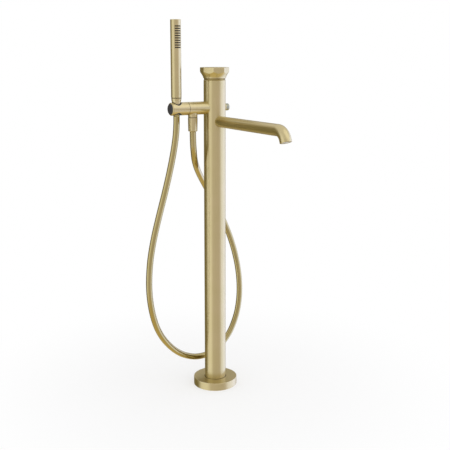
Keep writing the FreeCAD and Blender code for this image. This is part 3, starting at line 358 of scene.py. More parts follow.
class Tree:
    """The nodes of one material or of the world."""

    def __init__(self, owner):
        owner.use_nodes = True
        self.nodes = owner.node_tree.nodes
        self.links = owner.node_tree.links
        self.nodes.clear()

    def node(self, kind, settings=None, sockets=None):
        """Adds a node, first with its settings and then with the values or links of its sockets."""
        node = self.nodes.new(kind)
        for name, setting in (settings or {}).items():
            if name == "stops":
                ramp = node.color_ramp
                for number, (place, _) in enumerate(setting):
                    if number < 2:
                        ramp.elements[number].position = place
                    else:
                        ramp.elements.new(place)
                for element, (_, colour) in zip(ramp.elements, setting):
                    element.color = (*colour, 1)
            elif name == "interpolation" and kind == "ShaderNodeValToRGB":
                node.color_ramp.interpolation = setting
            else:
                setattr(node, name, setting)
        for name, given in (sockets or {}).items():
            if isinstance(name, int):
                socket = node.inputs[name]
            else:
                socket = next(s for s in node.inputs if name in (s.identifier, s.name))
            if isinstance(given, Value):
                self.links.new(given.socket, socket)
            elif isinstance(given, Added):
                self.links.new(given.out(), socket)
            elif isinstance(given, bpy.types.NodeSocket):
                self.links.new(given, socket)
            elif hasattr(given, "__len__") and hasattr(socket.default_value, "__len__"):
                socket.default_value = (*given, 1)[: len(socket.default_value)]
            else:
                socket.default_value = given
        return Added(self, node)

    def mix(self, factor, a, b):
        """A colour that goes from a to b with factor."""
        sockets = {"Factor_Float": factor, "A_Color": a, "B_Color": b}
        return self.node("ShaderNodeMix", {"data_type": "RGBA"}, sockets).out("Result_Color")

    def place(self):
        """Object coordinates, in metres."""
        return self.node("ShaderNodeTexCoord").out("Object")

    def stretched(self, source, scale, centre=(0, 0, 0)):
        """source, moved so that centre is its origin, and scaled."""
        moved = tuple(-c * s for c, s in zip(centre, scale))
        sockets = {"Vector": source, "Location": moved, "Scale": scale}
        return self.node("ShaderNodeMapping", {"vector_type": "POINT"}, sockets).out()

    def parts(self, vector):
        """x, y and z of a vector."""
        split = self.node("ShaderNodeSeparateXYZ", None, {"Vector": vector})
        return [split.value(axis) for axis in "XYZ"]

    def joined(self, x, y, z):
        return self.node("ShaderNodeCombineXYZ", None, {"X": x, "Y": y, "Z": z}).out()

    def noise(self, vector, scale=1.0, detail=2.0, roughness=0.5):
        sockets = {"Vector": vector, "Scale": scale, "Detail": detail, "Roughness": roughness}
        return self.node("ShaderNodeTexNoise", {"noise_dimensions": "3D"}, sockets).value()

    def bump(self, height, strength, distance):
        sockets = {"Height": height, "Strength": strength, "Distance": distance}
        return self.node("ShaderNodeBump", None, sockets).out()

    def finish(self, colour, roughness, normal=None, metallic=0.0, **constants):
        """The closing shader. constants are numbers and colours that are the same all over."""
        sockets = {"Base Color": colour, "Roughness": roughness, "Metallic": metallic}
        if normal is not None:
            sockets["Normal"] = normal
        sockets.update({name.replace("_", " "): value for name, value in constants.items()})
        shader = self.node("ShaderNodeBsdfPrincipled", None, sockets)
        self.node("ShaderNodeOutputMaterial", None, {"Surface": shader})


def material(name):
    """A new material and its nodes."""
    made = bpy.data.materials.new(name)
    return made, Tree(made)


def brushed_brass(name, along=None, centre=(0, 0, 0), colour=None):
    """Satin brass with fine brush lines. along is the axis that the lines run along, 0, 1 or 2. Without it
    they run round the upright axis through centre, as the lathe leaves them. The piece's edge attribute is
    above 0 where an edge is lighter, partly from rubbing and partly as a painted highlight, and below 0
    where a seam is darkened with painted shade. colour is the base colour, where it isn't that of the
    other brass."""
    colours = bpy.context.scene.filler_colours
    made, tree = material(name)
    place = tree.place()
    # lines of two widths, each with how often it changes in a metre, across itself and along itself
    if along is None:
        x, y, z = tree.parts(tree.stretched(place, (1, 1, 1), centre))
        radius = (x * x + y * y) ** 0.5
        lines = tree.joined(radius * 2600, z * 2600, 0.0)
        broad = tree.joined(radius * 420, z * 420, 0.0)
    else:
        fine = [2400.0] * 3
        fine[along] = 22.0
        lines = tree.stretched(place, fine, centre)
        wide = [380.0] * 3
        wide[along] = 7.0
        broad = tree.stretched(place, wide, centre)
    hair = tree.noise(lines, detail=3, roughness=0.65)
    band = tree.noise(broad, detail=2)
    cloud = tree.noise(place, scale=16, detail=3)
    # lighter edges, partly rubbing and partly painted highlight; seams darkened with painted shade
    wear_highlight_and_shade = tree.node("ShaderNodeAttribute", {"attribute_name": "edge_wear"}).value("Fac")
    wear_and_painted_light = (wear_highlight_and_shade * (0.55 + cloud * 0.6)).clamped()
    in_seam_shade = (wear_highlight_and_shade * -1).clamped()
    r, g, b = colour or colours.brass
    tone = tree.mix(cloud.between(0.3, 0.7), (r * 0.96, g * 0.97, b * 0.92), (r * 1.04, g * 1.03, b * 1.07))
    tone = tree.mix((hair * 0.5 + band * 0.4).clamped(), tone, (r * 0.84, g * 0.83, b * 0.78))
    # painted highlight on the lighter edges, which are also rubbed, and painted shade in the seams
    tone = tree.mix(wear_and_painted_light * 0.6, tone, (0.80, 0.72, 0.50))
    tone = tree.mix(in_seam_shade, tone, tuple(colours.seam_shade))
    roughness = 0.235 + hair * 0.09 + band * 0.05 - wear_and_painted_light * 0.05 + in_seam_shade * 0.3
    normal = tree.bump(hair + band * 0.5, 0.18, 0.00002)
    tree.finish(tone, roughness, normal, metallic=1.0, Coat_Weight=0.1, Coat_Roughness=0.15)
    return made


def raw_brass(name):
    """Turned brass as the lathe leaves it, with a dull film in patches."""
    made, tree = material(name)
    colours = bpy.context.scene.filler_colours
    place = tree.place()
    rings = tree.noise(tree.stretched(place, (120, 120, 2200)), detail=2)
    film = tree.noise(place, scale=60, detail=4, roughness=0.6)
    r, g, b = colours.raw_brass
    tone = tree.mix(film.between(0.42, 0.68), (r, g, b), (r * 0.72, g * 0.66, b * 0.62))
    roughness = 0.24 + rings * 0.12 + film * 0.12
    tree.finish(tone, roughness, tree.bump(rings, 0.15, 0.00003), metallic=1.0)
    return made


def rolled_metal(name, colour):
    """Plain steel, copper or bronze: drawn lines, and blotches where hands and flux have dulled it."""
    made, tree = material(name)
    place = tree.place()
    drawn = tree.noise(tree.stretched(place, (900, 900, 40)), detail=2)
    stain = tree.noise(place, scale=45, detail=4, roughness=0.6)
    r, g, b = colour
    tone = tree.mix(stain.between(0.4, 0.7), (r, g, b), (r * 0.7, g * 0.64, b * 0.6))
    roughness = 0.28 + drawn * 0.12 + stain * 0.15
    tree.finish(tone, roughness, tree.bump(drawn, 0.15, 0.00004), metallic=1.0)
    return made


def moulded_plastic(name, colour, gloss=0.38):
    """Moulded plastic: a fine spark-eroded grain, slightly uneven gloss and a little dust in the pits."""
    made, tree = material(name)
    place = tree.place()
    grain = tree.noise(place, scale=1500, detail=2)
    patch = tree.noise(place, scale=70, detail=3)
    r, g, b = colour
    tone = tree.mix(grain.between(0.35, 0.75), (r * 0.86, g * 0.86, b * 0.88), (r * 1.12, g * 1.12, b * 1.1))
    tone = tree.mix(patch.between(0.55, 0.8) * 0.25, tone, (r + 0.04, g + 0.04, b + 0.04))
    roughness = gloss + grain * 0.1 + patch * 0.08
    tree.finish(tone, roughness, tree.bump(grain, 0.2, 0.00003), IOR=1.49)
    return made


def moulded_rubber(name, colour):
    """Silicone rubber: dull, with a soft bloom and scattered lime specks."""
    made, tree = material(name)
    place = tree.place()
    bloom = tree.noise(place, scale=220, detail=4, roughness=0.7)
    speck = tree.noise(place, scale=2600, detail=1)
    r, g, b = colour
    tone = tree.mix(bloom.between(0.4, 0.7), (r, g, b), (r * 1.7, g * 1.65, b * 1.6))
    tone = tree.mix(speck.between(0.7, 0.78) * 0.35, tone, (0.35, 0.34, 0.31))
    tree.finish(tone, 0.55 + bloom * 0.2, tree.bump(bloom + speck * 0.4, 0.25, 0.00005), IOR=1.43)
    return made


def hose_sheath(name):
    """The hose's gold sheath: a fine strip wound round a core, under a clear smooth skin. It reads the
    piece's own UV map, u once round and v in metres along the hose, so a point's place across the strip is
    the fraction of STRIP_TURNS v + u."""
    made, tree = material(name)
    colours = bpy.context.scene.filler_colours
    uv = tree.node("ShaderNodeUVMap", {"uv_map": "along_hose"}).out()
    u, v, _ = tree.parts(uv)
    turns = v * STRIP_TURNS + u
    across = turns.math("FRACT", turns) - 0.5
    groove = 1 - (across * across * 4).clamped()
    drift = tree.noise(tree.place(), scale=14, detail=3)
    threads = tree.noise(tree.joined(u * 26, v * 1500, 0.0), detail=2)
    r, g, b = colours.hose
    tone = tree.mix(drift.between(0.3, 0.7), (r * 0.95, g * 0.95, b * 0.9), (r * 1.05, g * 1.04, b * 1.08))
    tone = tree.mix(threads * 0.4, tone, (r * 0.78, g * 0.76, b * 0.7))
    tone = tree.mix((0.25 - groove).clamped() * 1.6, tone, (r * 0.45, g * 0.42, b * 0.36))
    roughness = 0.08 + threads * 0.08
    normal = tree.bump(groove + threads * 0.2, 0.05, 0.00006)
    tree.finish(tone, roughness, normal, metallic=1.0, Coat_Weight=1.0, Coat_Roughness=0.05)
    return made


# ---------------------------------------------------------------- surfaces


def soft_corners(profile, reach, steps=6):
    """A profile's inner corners rounded. Each corner P becomes the curve (1-t)(1-t)A + 2t(1-t)P + ttB, with
    A and B at reach from P on its two sides, or at half a side where that is shorter. Gives the points, and
    1 where a point lies on a rounded corner."""
    points = np.asarray(profile, float)
    before, corner, after = points[:-2], points[1:-1], points[2:]
    reach = np.broadcast_to(np.asarray(reach, float), (len(corner),))[:, None]
    back, on = before - corner, after - corner
    back_length = np.maximum(np.linalg.norm(back, axis=1, keepdims=True), 1e-9)
    on_length = np.maximum(np.linalg.norm(on, axis=1, keepdims=True), 1e-9)
    # a little less than half a side, so that two rounded corners never touch
    share = 2.02
    start = corner + back / back_length * np.minimum(reach, back_length / share)
    end = corner + on / on_length * np.minimum(reach, on_length / share)
    t = np.linspace(0, 1, steps)[None, :, None]
    curve = (1 - t) ** 2 * start[:, None] + 2 * t * (1 - t) * corner[:, None] + t**2 * end[:, None]
    on_edge = np.repeat((reach[:, 0] > 0)[:, None], steps, axis=1)
    on_edge[:, [0, -1]] = False
    line = np.concatenate([points[:1], curve.reshape(-1, 2), points[-1:]])
    wear_and_painted_light = np.concatenate([[0], on_edge.reshape(-1), [0]])
    return line, wear_and_painted_light


def piece(name, rings, wear_and_painted_light=None, closed=False):
    """A mesh from rings of points, an array of rings by points by three. Point j of ring i joins point j+1
    and ring i+1, round and round, so a ring closes on itself, and with closed the last ring joins the
    first. The third argument marks each ring or point: above 0 on lighter edges, partly rubbing and partly
    painted highlight, and below 0 in seams darkened with painted shade."""
    count, around = rings.shape[:2]
    last = count if closed else count - 1
    i, j = np.meshgrid(np.arange(last), np.arange(around), indexing="ij")
    up, on = (i + 1) % count, (j + 1) % around
    quads = np.stack([i * around + j, i * around + on, up * around + on, up * around + j], -1).reshape(-1, 4)
    mesh = bpy.data.meshes.new(name)
    mesh.vertices.add(count * around)
    mesh.vertices.foreach_set("co", rings.astype(np.float32).ravel())
    mesh.loops.add(quads.size)
    mesh.loops.foreach_set("vertex_index", quads.astype(np.int32).ravel())
    mesh.polygons.add(len(quads))
    mesh.polygons.foreach_set("loop_start", np.arange(0, quads.size, 4, dtype=np.int32))
    mesh.polygons.foreach_set("use_smooth", np.ones(len(quads), bool))
    if wear_and_painted_light is not None:
        attribute = mesh.attributes.new("edge_wear", "FLOAT", "POINT")
        values = np.broadcast_to(np.asarray(wear_and_painted_light, np.float32).reshape(count, -1), (count, around))
        attribute.data.foreach_set("value", np.ascontiguousarray(values).ravel())
    mesh.update(calc_edges=True)
    made = bpy.data.objects.new(name, mesh)
    bpy.context.scene.collection.objects.link(made)
    return made


def merged(made):
    """The points of a piece that fall on each other become one, which closes its poles."""
    shape = bmesh.new()
    shape.from_mesh(made.data)
    bmesh.ops.remove_doubles(shape, verts=shape.verts, dist=SAME_PLACE)
    bmesh.ops.dissolve_degenerate(shape, edges=shape.edges, dist=1e-7)
    shape.to_mesh(made.data)
    shape.free()
    return made


def dressed(made, body, finish, node, weighted=True):
    """Puts a piece on its body, gives it its finish and hides the CAD node that it stands for."""
    made.data.materials.clear()
    made.data.materials.append(finish)
    if weighted:
        modifier = made.modifiers.new("Face weights", "WEIGHTED_NORMAL")
        modifier.mode = "FACE_AREA"
        modifier.weight = 60
    if body:
        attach(made, body)
    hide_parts(node)


def bored(made, tool):
    """Takes the space of tool out of a piece, and removes tool."""
    modifier = made.modifiers.new("Bore", "BOOLEAN")
    modifier.operation = "DIFFERENCE"
    modifier.solver = "EXACT"
    modifier.object = tool
    shown = made.evaluated_get(bpy.context.evaluated_depsgraph_get())
    mesh = bpy.data.meshes.new_from_object(shown)
    made.modifiers.clear()
    made.data = mesh
    bpy.data.objects.remove(tool)


def axes(along):
    """Two directions across along, so that first, second and along are right-handed."""
    along = np.asarray(along, float)
    along = along / np.linalg.norm(along)
    side = np.array([0.0, 1.0, 0.0]) if abs(along[0]) > 0.5 else np.array([1.0, 0.0, 0.0])
    first = side - along * (side @ along)
    first = first / np.linalg.norm(first)
    return first, np.cross(along, first), along


def turned(name, start, along, profile, reach=0.0, around=ROUND, closed=True, seam_shade=None):
    """A piece turned on a lathe. A profile point (radius, height) becomes the ring start + height along +
    radius (cos a, sin a) across, for angles a all round. The profile goes up outside and down inside; closed
    joins its two ends, and without it they lie on the axis. The last argument, when given, is two heights
    and
    a radius: what lies between the heights, up to the radius, is darkened with painted shade."""
    points = np.asarray(profile, float)
    if closed:
        middle = (points[-1] + points[0]) / 2
        points = np.concatenate([[middle], points, [middle]])
    line, wear_and_painted_light = soft_corners(points, reach)
    if closed:
        line, wear_and_painted_light = line[:-1], wear_and_painted_light[:-1]
    # points in the seam get -1, which the brass material darkens with painted shade
    if seam_shade:
        in_seam_shade = (line[:, 1] > seam_shade[0]) & (line[:, 1] < seam_shade[1]) & (line[:, 0] < seam_shade[2])
        wear_and_painted_light = np.where(in_seam_shade, -1, wear_and_painted_light)
    first, second, axis = axes(along)
    angle = np.arange(around) * TAU / around
    across = np.cos(angle)[:, None] * first + np.sin(angle)[:, None] * second
    rings = np.asarray(start) + line[:, 1, None, None] * axis + line[:, 0, None, None] * across
    return merged(piece(name, rings, wear_and_painted_light, closed))


def swept(name, path, way, radii, side, around, wear_and_painted_light=None, closed=False):
    """A tube along a path. Ring i stands at point i of the path, square to its direction way, with radius i.
    Its first point lies towards side, squared against way, which is never in line with side."""
    way = way / np.linalg.norm(way, axis=1, keepdims=True)
    side = np.broadcast_to(np.asarray(side, float), way.shape)
    first = side - way * np.sum(side * way, axis=1, keepdims=True)
    first = first / np.linalg.norm(first, axis=1, keepdims=True)
    second = np.cross(way, first)
    angle = np.arange(around) * TAU / around
    across = np.cos(angle)[None, :, None] * first[:, None] + np.sin(angle)[None, :, None] * second[:, None]
    rings = path[:, None] + radii[:, None, None] * across
    return piece(name, rings, wear_and_painted_light, closed)


# ---------------------------------------------------------------- camera, hose


class FILLER_OT_camera(Operator):
    """Set the camera where the photograph was taken from"""

    bl_idname = "filler.camera"
    bl_label = "Camera"

    def execute(self, context):
        view = context.scene.filler_view
        data = bpy.data.cameras.new("camera")
        data.lens = view.lens
        data.sensor_width = 36
        data.shift_y = view.shift
        camera = bpy.data.objects.new("camera", data)
        camera.location = view.place
        camera.rotation_euler = (math.pi / 2 - view.tilt, 0, -view.turn)
        context.scene.collection.objects.link(camera)
        context.scene.camera = camera
        return {"FINISHED"}


def hose_line():
    """Points along the hose: its route drawn as one smooth spline of order 3, as Blender works it out."""
    curve = bpy.data.curves.new("hose_route", "CURVE")
    curve.dimensions = "3D"
    curve.resolution_u = 24
    spline = curve.splines.new("NURBS")
    spline.points.add(len(HOSE_ROUTE) - 1)
    route = np.ones((len(HOSE_ROUTE), 4), np.float32)
    route[:, :3] = HOSE_ROUTE
    spline.points.foreach_set("co", route.ravel())
    spline.order_u = 3
    spline.use_endpoint_u = True
    drawn = bpy.data.objects.new("hose_route", curve)
    mesh = bpy.data.meshes.new_from_object(drawn)
    line = np.zeros(len(mesh.vertices) * 3, np.float32)
    mesh.vertices.foreach_get("co", line)
    bpy.data.meshes.remove(mesh)
    bpy.data.objects.remove(drawn)
    bpy.data.curves.remove(curve)
    line = line.reshape(-1, 3).astype(float)
    apart = np.linalg.norm(np.diff(line, axis=0), axis=1) > 1e-6
    return line[np.concatenate([[True], apart])]


def hose_piece(name, line, way, lengths, radius):
    """A tube along a line, closed at each end by one more ring with next to no width. Its UV map has u once
    round, and v the length along the hose in metres."""
    path = np.concatenate([line[:1], line, line[-1:]])
    way = np.concatenate([way[:1], way, way[-1:]])
    lengths = np.concatenate([lengths[:1], lengths, lengths[-1:]])
    radii = np.full(len(path), radius)
    radii[[0, -1]] = SHUT * radius
    made = swept(name, path, way, radii, (0, 1, 0), HOSE_ROUND)
    mesh = made.data
    layer = mesh.uv_layers.new(name="along_hose")
    index = np.zeros(len(mesh.loops), np.int32)
    mesh.loops.foreach_get("vertex_index", index)
    ring, point = index // HOSE_ROUND, index % HOSE_ROUND
    # where a face closes the ring, its two far corners have u = 1 and not 0
    corner = np.arange(len(index)) % 4
    wraps = (point == 0) & ((corner == 1) | (corner == 2))
    u = np.where(wraps, 1.0, point / HOSE_ROUND)
    layer.data.foreach_set("uv", np.stack([u, lengths[ring]], -1).astype(np.float32).ravel())
    return made


class FILLER_OT_hose(Operator):
    """Lay the hose along its route, from the nut under the arm up into the holder"""

    bl_idname = "filler.hose"
    bl_label = "Hose"

    def execute(self, context):
        radius = context.scene.filler_sizes.hose_diameter / 2
        finish = hose_sheath("hose_sheath")
        line = hose_line()
        steps = np.linalg.norm(np.diff(line, axis=0), axis=1)
        lengths = np.concatenate([[0], np.cumsum(steps)])
        hose = hose_piece("hose_tube", line, np.gradient(line, axis=0), lengths, radius)
        dressed(hose, None, finish, "hose", weighted=False)
        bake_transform(hose)
        # the stretch in the holder stands upright from the hose's end
        x, y, _ = node_middle("hose_slack")
        top = node_box("hose_slack")[1][2]
        upright = np.linspace(line[-1][2], top, 60)
        stretch = np.stack([np.full_like(upright, x), np.full_like(upright, y), upright], -1)
        way = np.broadcast_to(np.array([0, 0, 1.0]), stretch.shape)
        slack = hose_piece("hose_slack_tube", stretch, way, lengths[-1] + upright - upright[0], radius)
        dressed(slack, "holder", finish, "hose_slack", weighted=False)
        return {"FINISHED"}


# ---------------------------------------------------------------- knob, column and base


class FILLER_OT_knob(Operator):
    """Shape the mixer knob: an octagonal plate that flows down into a round rim"""

    bl_idname = "filler.knob"
    bl_label = "Mixer knob"

    def execute(self, context):
        sizes = context.scene.filler_sizes
        low, high = node_box("mixer_knob")
        bottom, top = low[2], high[2]
        plate = top - sizes.knob_plate
        corner, rim, edge = sizes.knob_corner, sizes.knob_rim, sizes.edge
        # angles round the knob, 24 to each of its eight faces and closer together at the corners
        face = np.arange(8)
        eighth = TAU / 8
        side = np.linspace(-1, 1, 25)[:-1]
        spread = np.sin(side * math.pi / 2) * 0.55 + side * 0.45
        angle = ((face[:, None] + (spread + 1) / 2) * eighth + sizes.knob_turn).ravel()
        facing = sizes.knob_turn + (face + 0.5) * eighth
        nearness = np.clip(np.cos(angle[:, None] - facing), 0, None) / math.cos(eighth / 2)
        octagon = np.sum(nearness**sizes.knob_softness, axis=1) ** (-1 / sizes.knob_softness)
        # each row of points: its radius as a turned piece, its size as an octagon, and its height
        wide = 2 * corner
        skirt = [
            (0, 1, bottom),
            (0.6 * rim, 1, bottom),
            (0.985 * rim, 1, bottom),
            (rim, 1, bottom + 0.4 * MM),
            (rim, 1, bottom + 1.1 * MM),
        ]
        t = np.linspace(0, 1, 60)
        start = bottom + 1.5 * MM
        flare = rim + (corner - rim) * t**sizes.knob_cove
        cone = np.stack([flare, np.ones_like(t), start + (plate - start) * t], -1)
        wall = [
            (wide, 1, plate + 0.4 * MM),
            (wide, 1, (plate + top) / 2),
            (wide, 1, top - 1.4 * edge),
            (wide, 1, top - edge),
            (wide, 1 - 0.25 * edge / corner, top - 0.55 * edge),
            (wide, 1 - 0.75 * edge / corner, top - 0.1 * edge),
            (wide, 1 - 1.2 * edge / corner, top),
            (wide, 1 - 2.5 * edge / corner, top),
            (wide, 0.8, top),
            (wide, 0.4, top),
            (wide, 0, top),
        ]
        reach, size, height = (column[:, None] for column in np.concatenate([skirt, cone, wall]).T)
        faces = size * corner * octagon
        # the flat faces cut the cone: the smaller of the two radii, with a soft edge between
        small, large = np.minimum(reach, faces), np.maximum(reach, faces)
        radius = small * (1 + (small / large) ** sizes.knob_softness) ** (-1 / sizes.knob_softness)
        height = np.broadcast_to(height, radius.shape)
        rings = np.stack([radius * np.cos(angle), radius * np.sin(angle), height], -1)
        # the rim, the plate's upper edge and the corners are lighter: partly rubbing, partly a painted
        # highlight
        wear_and_painted_light = np.zeros((len(rings), 1))
        wear_and_painted_light[3:5] = 0.7
        wear_and_painted_light[-8:-5] = 0.8
        near_corner = np.where(faces < reach, np.clip((octagon - 0.965) / 0.025, 0, 1), 0)
        knob = merged(piece("octagon_knob", rings, np.maximum(wear_and_painted_light, near_corner * 0.35)))
        # the hole of the set screw at the back
        screw = node_middle("knob_screw")
        hole = 2.1 * MM
        bar = [(0, 0), (hole, 0), (hole, corner), (0, corner)]
        tool = turned("screw_hole", (screw[0], rim / 2, screw[2]), (0, 1, 0), bar, around=32, closed=False)
        bored(knob, tool)
        dressed(knob, "knob", brushed_brass("brass_knob"), "mixer_knob")
        return {"FINISHED"}


class FILLER_OT_base(Operator):
    """Turn the round cover that stands on the floor at the column's foot"""

    bl_idname = "filler.base"
    bl_label = "Base cover"

    def execute(self, context):
        low, high = node_box("base_cover")
        hole = node_box("column_tube")[1][0] + 0.15 * MM
        radius, height = (high[0] - low[0]) / 2, high[2] - low[2]
        wall = 2 * MM
        profile = [
            (radius - wall, 0),
            (radius, 0),
            (radius, height),
            (hole + 1.5 * MM, height),
            (hole, height),
            (hole, height - wall),
            (radius - wall, height - wall),
        ]
        reach = np.array([0.3, 0.3, 0.8, 0, 0.8, 0.2, 0.5]) * MM
        # the seam where the cover meets the column is darkened with painted shade
        seam = (height - wall, 1, hole + 0.85 * MM)
        cover = turned("base_disc", (0, 0, low[2]), (0, 0, 1), profile, reach, around=160, seam_shade=seam)
        dressed(cover, "column", brushed_brass("brass_turned"), "base_cover")
        return {"FINISHED"}


# ---------------------------------------------------------------- spout


class FILLER_OT_spout(Operator):
    """Bend the spout tube and round its lip"""

    bl_idname = "filler.spout"
    bl_label = "Spout"

    def execute(self, context):
        sizes = context.scene.filler_sizes
        bend, turn, tail = sizes.spout_bend, sizes.spout_turn, sizes.spout_tail
        height = node_middle("spout_nipple")[2]
        low, high = node_box("spout_tube")
        radius = (high[0] - low[0]) / 2
        bore = radius - sizes.spout_wall
        lip = sizes.spout_wall / 2
        # the bend starts as far out as its end, its tail and its half width leave of the tube's whole reach
        reach = low[1] + bend * math.sin(turn) + tail * math.cos(turn) + radius * math.sin(turn)
        # the straight run, the bend about its centre and the tail, in the upright plane through the column
        run = np.linspace(high[1], reach, 40)[:-1]
        angle = np.linspace(0, turn, 49)
        rounding = np.linspace(0, math.pi / 2, 7)
        out = np.concatenate([np.array([0.3, 0.6, 0.85]) * tail, tail - lip * (1 - np.sin(rounding))])
        lean = np.concatenate([np.zeros(len(run)), angle, np.full(len(out), turn)])
        beyond = np.concatenate([np.zeros(len(run) + len(angle)), out])
        straight = np.concatenate([run, np.full(len(angle) + len(out), reach)])
        y = straight - bend * np.sin(lean) - beyond * np.cos(lean)
        z = height - bend * (1 - np.cos(lean)) - beyond * np.sin(lean)
        path = np.stack([np.zeros(len(y)), y, z], -1)
        way = np.stack([np.zeros(len(y)), -np.cos(lean), -np.sin(lean)], -1)
        radii = np.full(len(y), radius)
        radii[-len(rounding) :] = radius - lip * (1 - np.cos(rounding))
        # the rounded lip and the mouth's edge are lighter: partly rubbing, partly a painted highlight
        wear_and_painted_light = np.zeros(len(y))
        wear_and_painted_light[-len(rounding) + 1 :] = 1
        # outside to the lip, then the wall of the mouth back inside, where the aerator's housing sits
        path = np.concatenate([path, path[-1:], path[::-1]])
        way = np.concatenate([way, way[-1:], way[::-1]])
        radii = np.concatenate([radii, [bore + 0.2 * MM], np.full(len(y), bore)])
        wear_and_painted_light = np.concatenate([wear_and_painted_light, [1], np.zeros(len(y))])
        spout = swept("bent_spout", path, way, radii, (1, 0, 0), around=72, wear_and_painted_light=wear_and_painted_light, closed=True)
        dressed(spout, "column", brushed_brass("brass_spout", 1), "spout_tube")
        return {"FINISHED"}


# ---------------------------------------------------------------- fittings


class FILLER_OT_fittings(Operator):
    """Turn the nuts at the hose's two ends, the diverter's knob and the plug in the arm's end"""

    bl_idname = "filler.fittings"
    bl_label = "Fittings"

    def execute(self, context):
        # the nuts' profiles: radius and height in millimetres, up outside and down inside
        x, y, _ = node_middle("cone_nut")
        low, high = (corner[2] for corner in node_box("cone_nut"))
        # the seam at the nut's top, under the handset's tube, is darkened with painted shade
        seam = high - low - 1.2 * MM
        tall = 41  # the cone's height as listed here, before it is fitted to its node
        cone = [
            (8.35, 0), (9.6, 0), (9.6, 21), (11.1, 29.25), (11.85, 33), (12.9, 39.5), (12.0, 39.8),
            (12.0, tall), (11.5, tall), (11.5, 33), (10.5, 33), (10.5, 26), (8.35, 26),
        ]
        cone = np.array(cone) * MM * [1, (high - low) / (tall * MM)]
        reach = np.array([0.2, 0.6, 3, 1, 1, 0.2, 0.1, 0.1, 0.1, 0.1, 0.1, 0.1, 0.1]) * MM
        nut = turned("cone_nut_turned", (x, y, low), (0, 0, 1), cone, reach, seam_shade=(seam, 1, 1))
        finish = brushed_brass("brass_cone", None, (x, y, 0))
        dressed(nut, "handset", finish, "cone_nut")

        x, y, _ = node_middle("outlet_nut")
        low = node_box("outlet_nut")[0][2]
        # the seam at the nut's top is darkened with painted shade
        seam = 34.2 * MM
        sleeve = [
            (8.2, 0), (10.7, 0), (11.5, 0.8), (12.2, 34), (11.1, 34.6), (11.1, 35.5), (10.5, 35.5),
            (10.5, 19.5), (8.2, 19.5),
        ]
        sleeve = np.array(sleeve) * MM
        reach = np.array([0.2, 0.4, 0.5, 0.2, 0.1, 0.1, 0.1, 0.1, 0.1]) * MM
        nut = turned("outlet_nut_turned", (x, y, low), (0, 0, 1), sleeve, reach, seam_shade=(seam, 1, 1))
        finish = brushed_brass("brass_outlet", None, (x, y, 0))
        dressed(nut, "column", finish, "outlet_nut")

        low, high = node_box("end_plug")
        _, y, z = (low + high) / 2
        length, radius = high[0] - low[0], (high[2] - low[2]) / 2
        dome = [
            (0, 0),
            (radius, 0),
            (radius, length - 0.5 * MM),
            (radius / 2, length - 0.15 * MM),
            (0, length),
        ]
        reach = np.array([0.3, 2.4, 4]) * MM
        plug = turned("domed_plug", (high[0], y, z), (-1, 0, 0), dome, reach, closed=False)
        colours = context.scene.filler_colours
        dressed(plug, "holder", moulded_plastic("plastic_plug", colours.black), "end_plug")

        low, high = node_box("diverter_knob")
        _, y, z = (low + high) / 2
        length, radius = high[0] - low[0], (high[2] - low[2]) / 2
        button = [(0, 0), (radius, 0), (radius, length), (0, length)]
        reach = np.array([0.4, 4]) * MM
        knob = turned("diverter_button", (low[0], y, z), (1, 0, 0), button, reach, closed=False)
        finish = brushed_brass("brass_button", 0, colour=tuple(colours.button))
        dressed(knob, "diverter", finish, "diverter_knob")
        return {"FINISHED"}


# ---------------------------------------------------------------- finishes of the CAD nodes


class FILLER_OT_finishes(Operator):
    """Give every CAD node that stays its finish"""

    bl_idname = "filler.finishes"
    bl_label = "Finishes"

    def execute(self, context):
        colours = context.scene.filler_colours
        upright = brushed_brass("brass_upright", 2)
        crosswise = brushed_brass("brass_crosswise", 0)
        raw = raw_brass("brass_raw")
        steel = rolled_metal("steel", colours.steel)
        copper = rolled_metal("copper", colours.copper)
        white = moulded_plastic("plastic_white", colours.white, 0.3)
        black = moulded_plastic("plastic_black", colours.black)
        # the ring under the knob gets a dark tone that paints the shade of the gap there
        shaded_bronze = rolled_metal("shaded_bronze_ring", colours.glide_shade)
        rubber = moulded_rubber("rubber_black", colours.rubber)
        finishes = {
            upright: ["column_tube", "outlet_nipple", "handset_tube", "handset_cap", "aerator_housing"],
            crosswise: ["arm_sleeve", "holder_barrel", "diverter_bush"],
            raw: [
                "valve_body", "cartridge_nut", "column_cap", "spout_nipple", "arm_core", "holder_spindle",
                "mixer_stem", "diverter_stem", "hose_swivel_ring", "handset_connector",
            ],
            steel: ["floor_plate", "knob_screw", "holder_screw"],
            copper: ["hot_pipe", "cold_pipe"],
            white: ["mixer_cartridge", "aerator_insert", "check_valve", "handset_core"],
            black: ["arm_washer", "holder_liner"],
            shaded_bronze: ["glide_ring"],
            rubber: ["spout_seal", "outlet_washer", "diverter_seal", "handset_washer", "nozzle_strip"],
        }
        for finish, names in finishes.items():
            for name in names:
                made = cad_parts[name]
                made.data.materials.clear()
                made.data.materials.append(finish)
        return {"FINISHED"}


# ---------------------------------------------------------------- stage


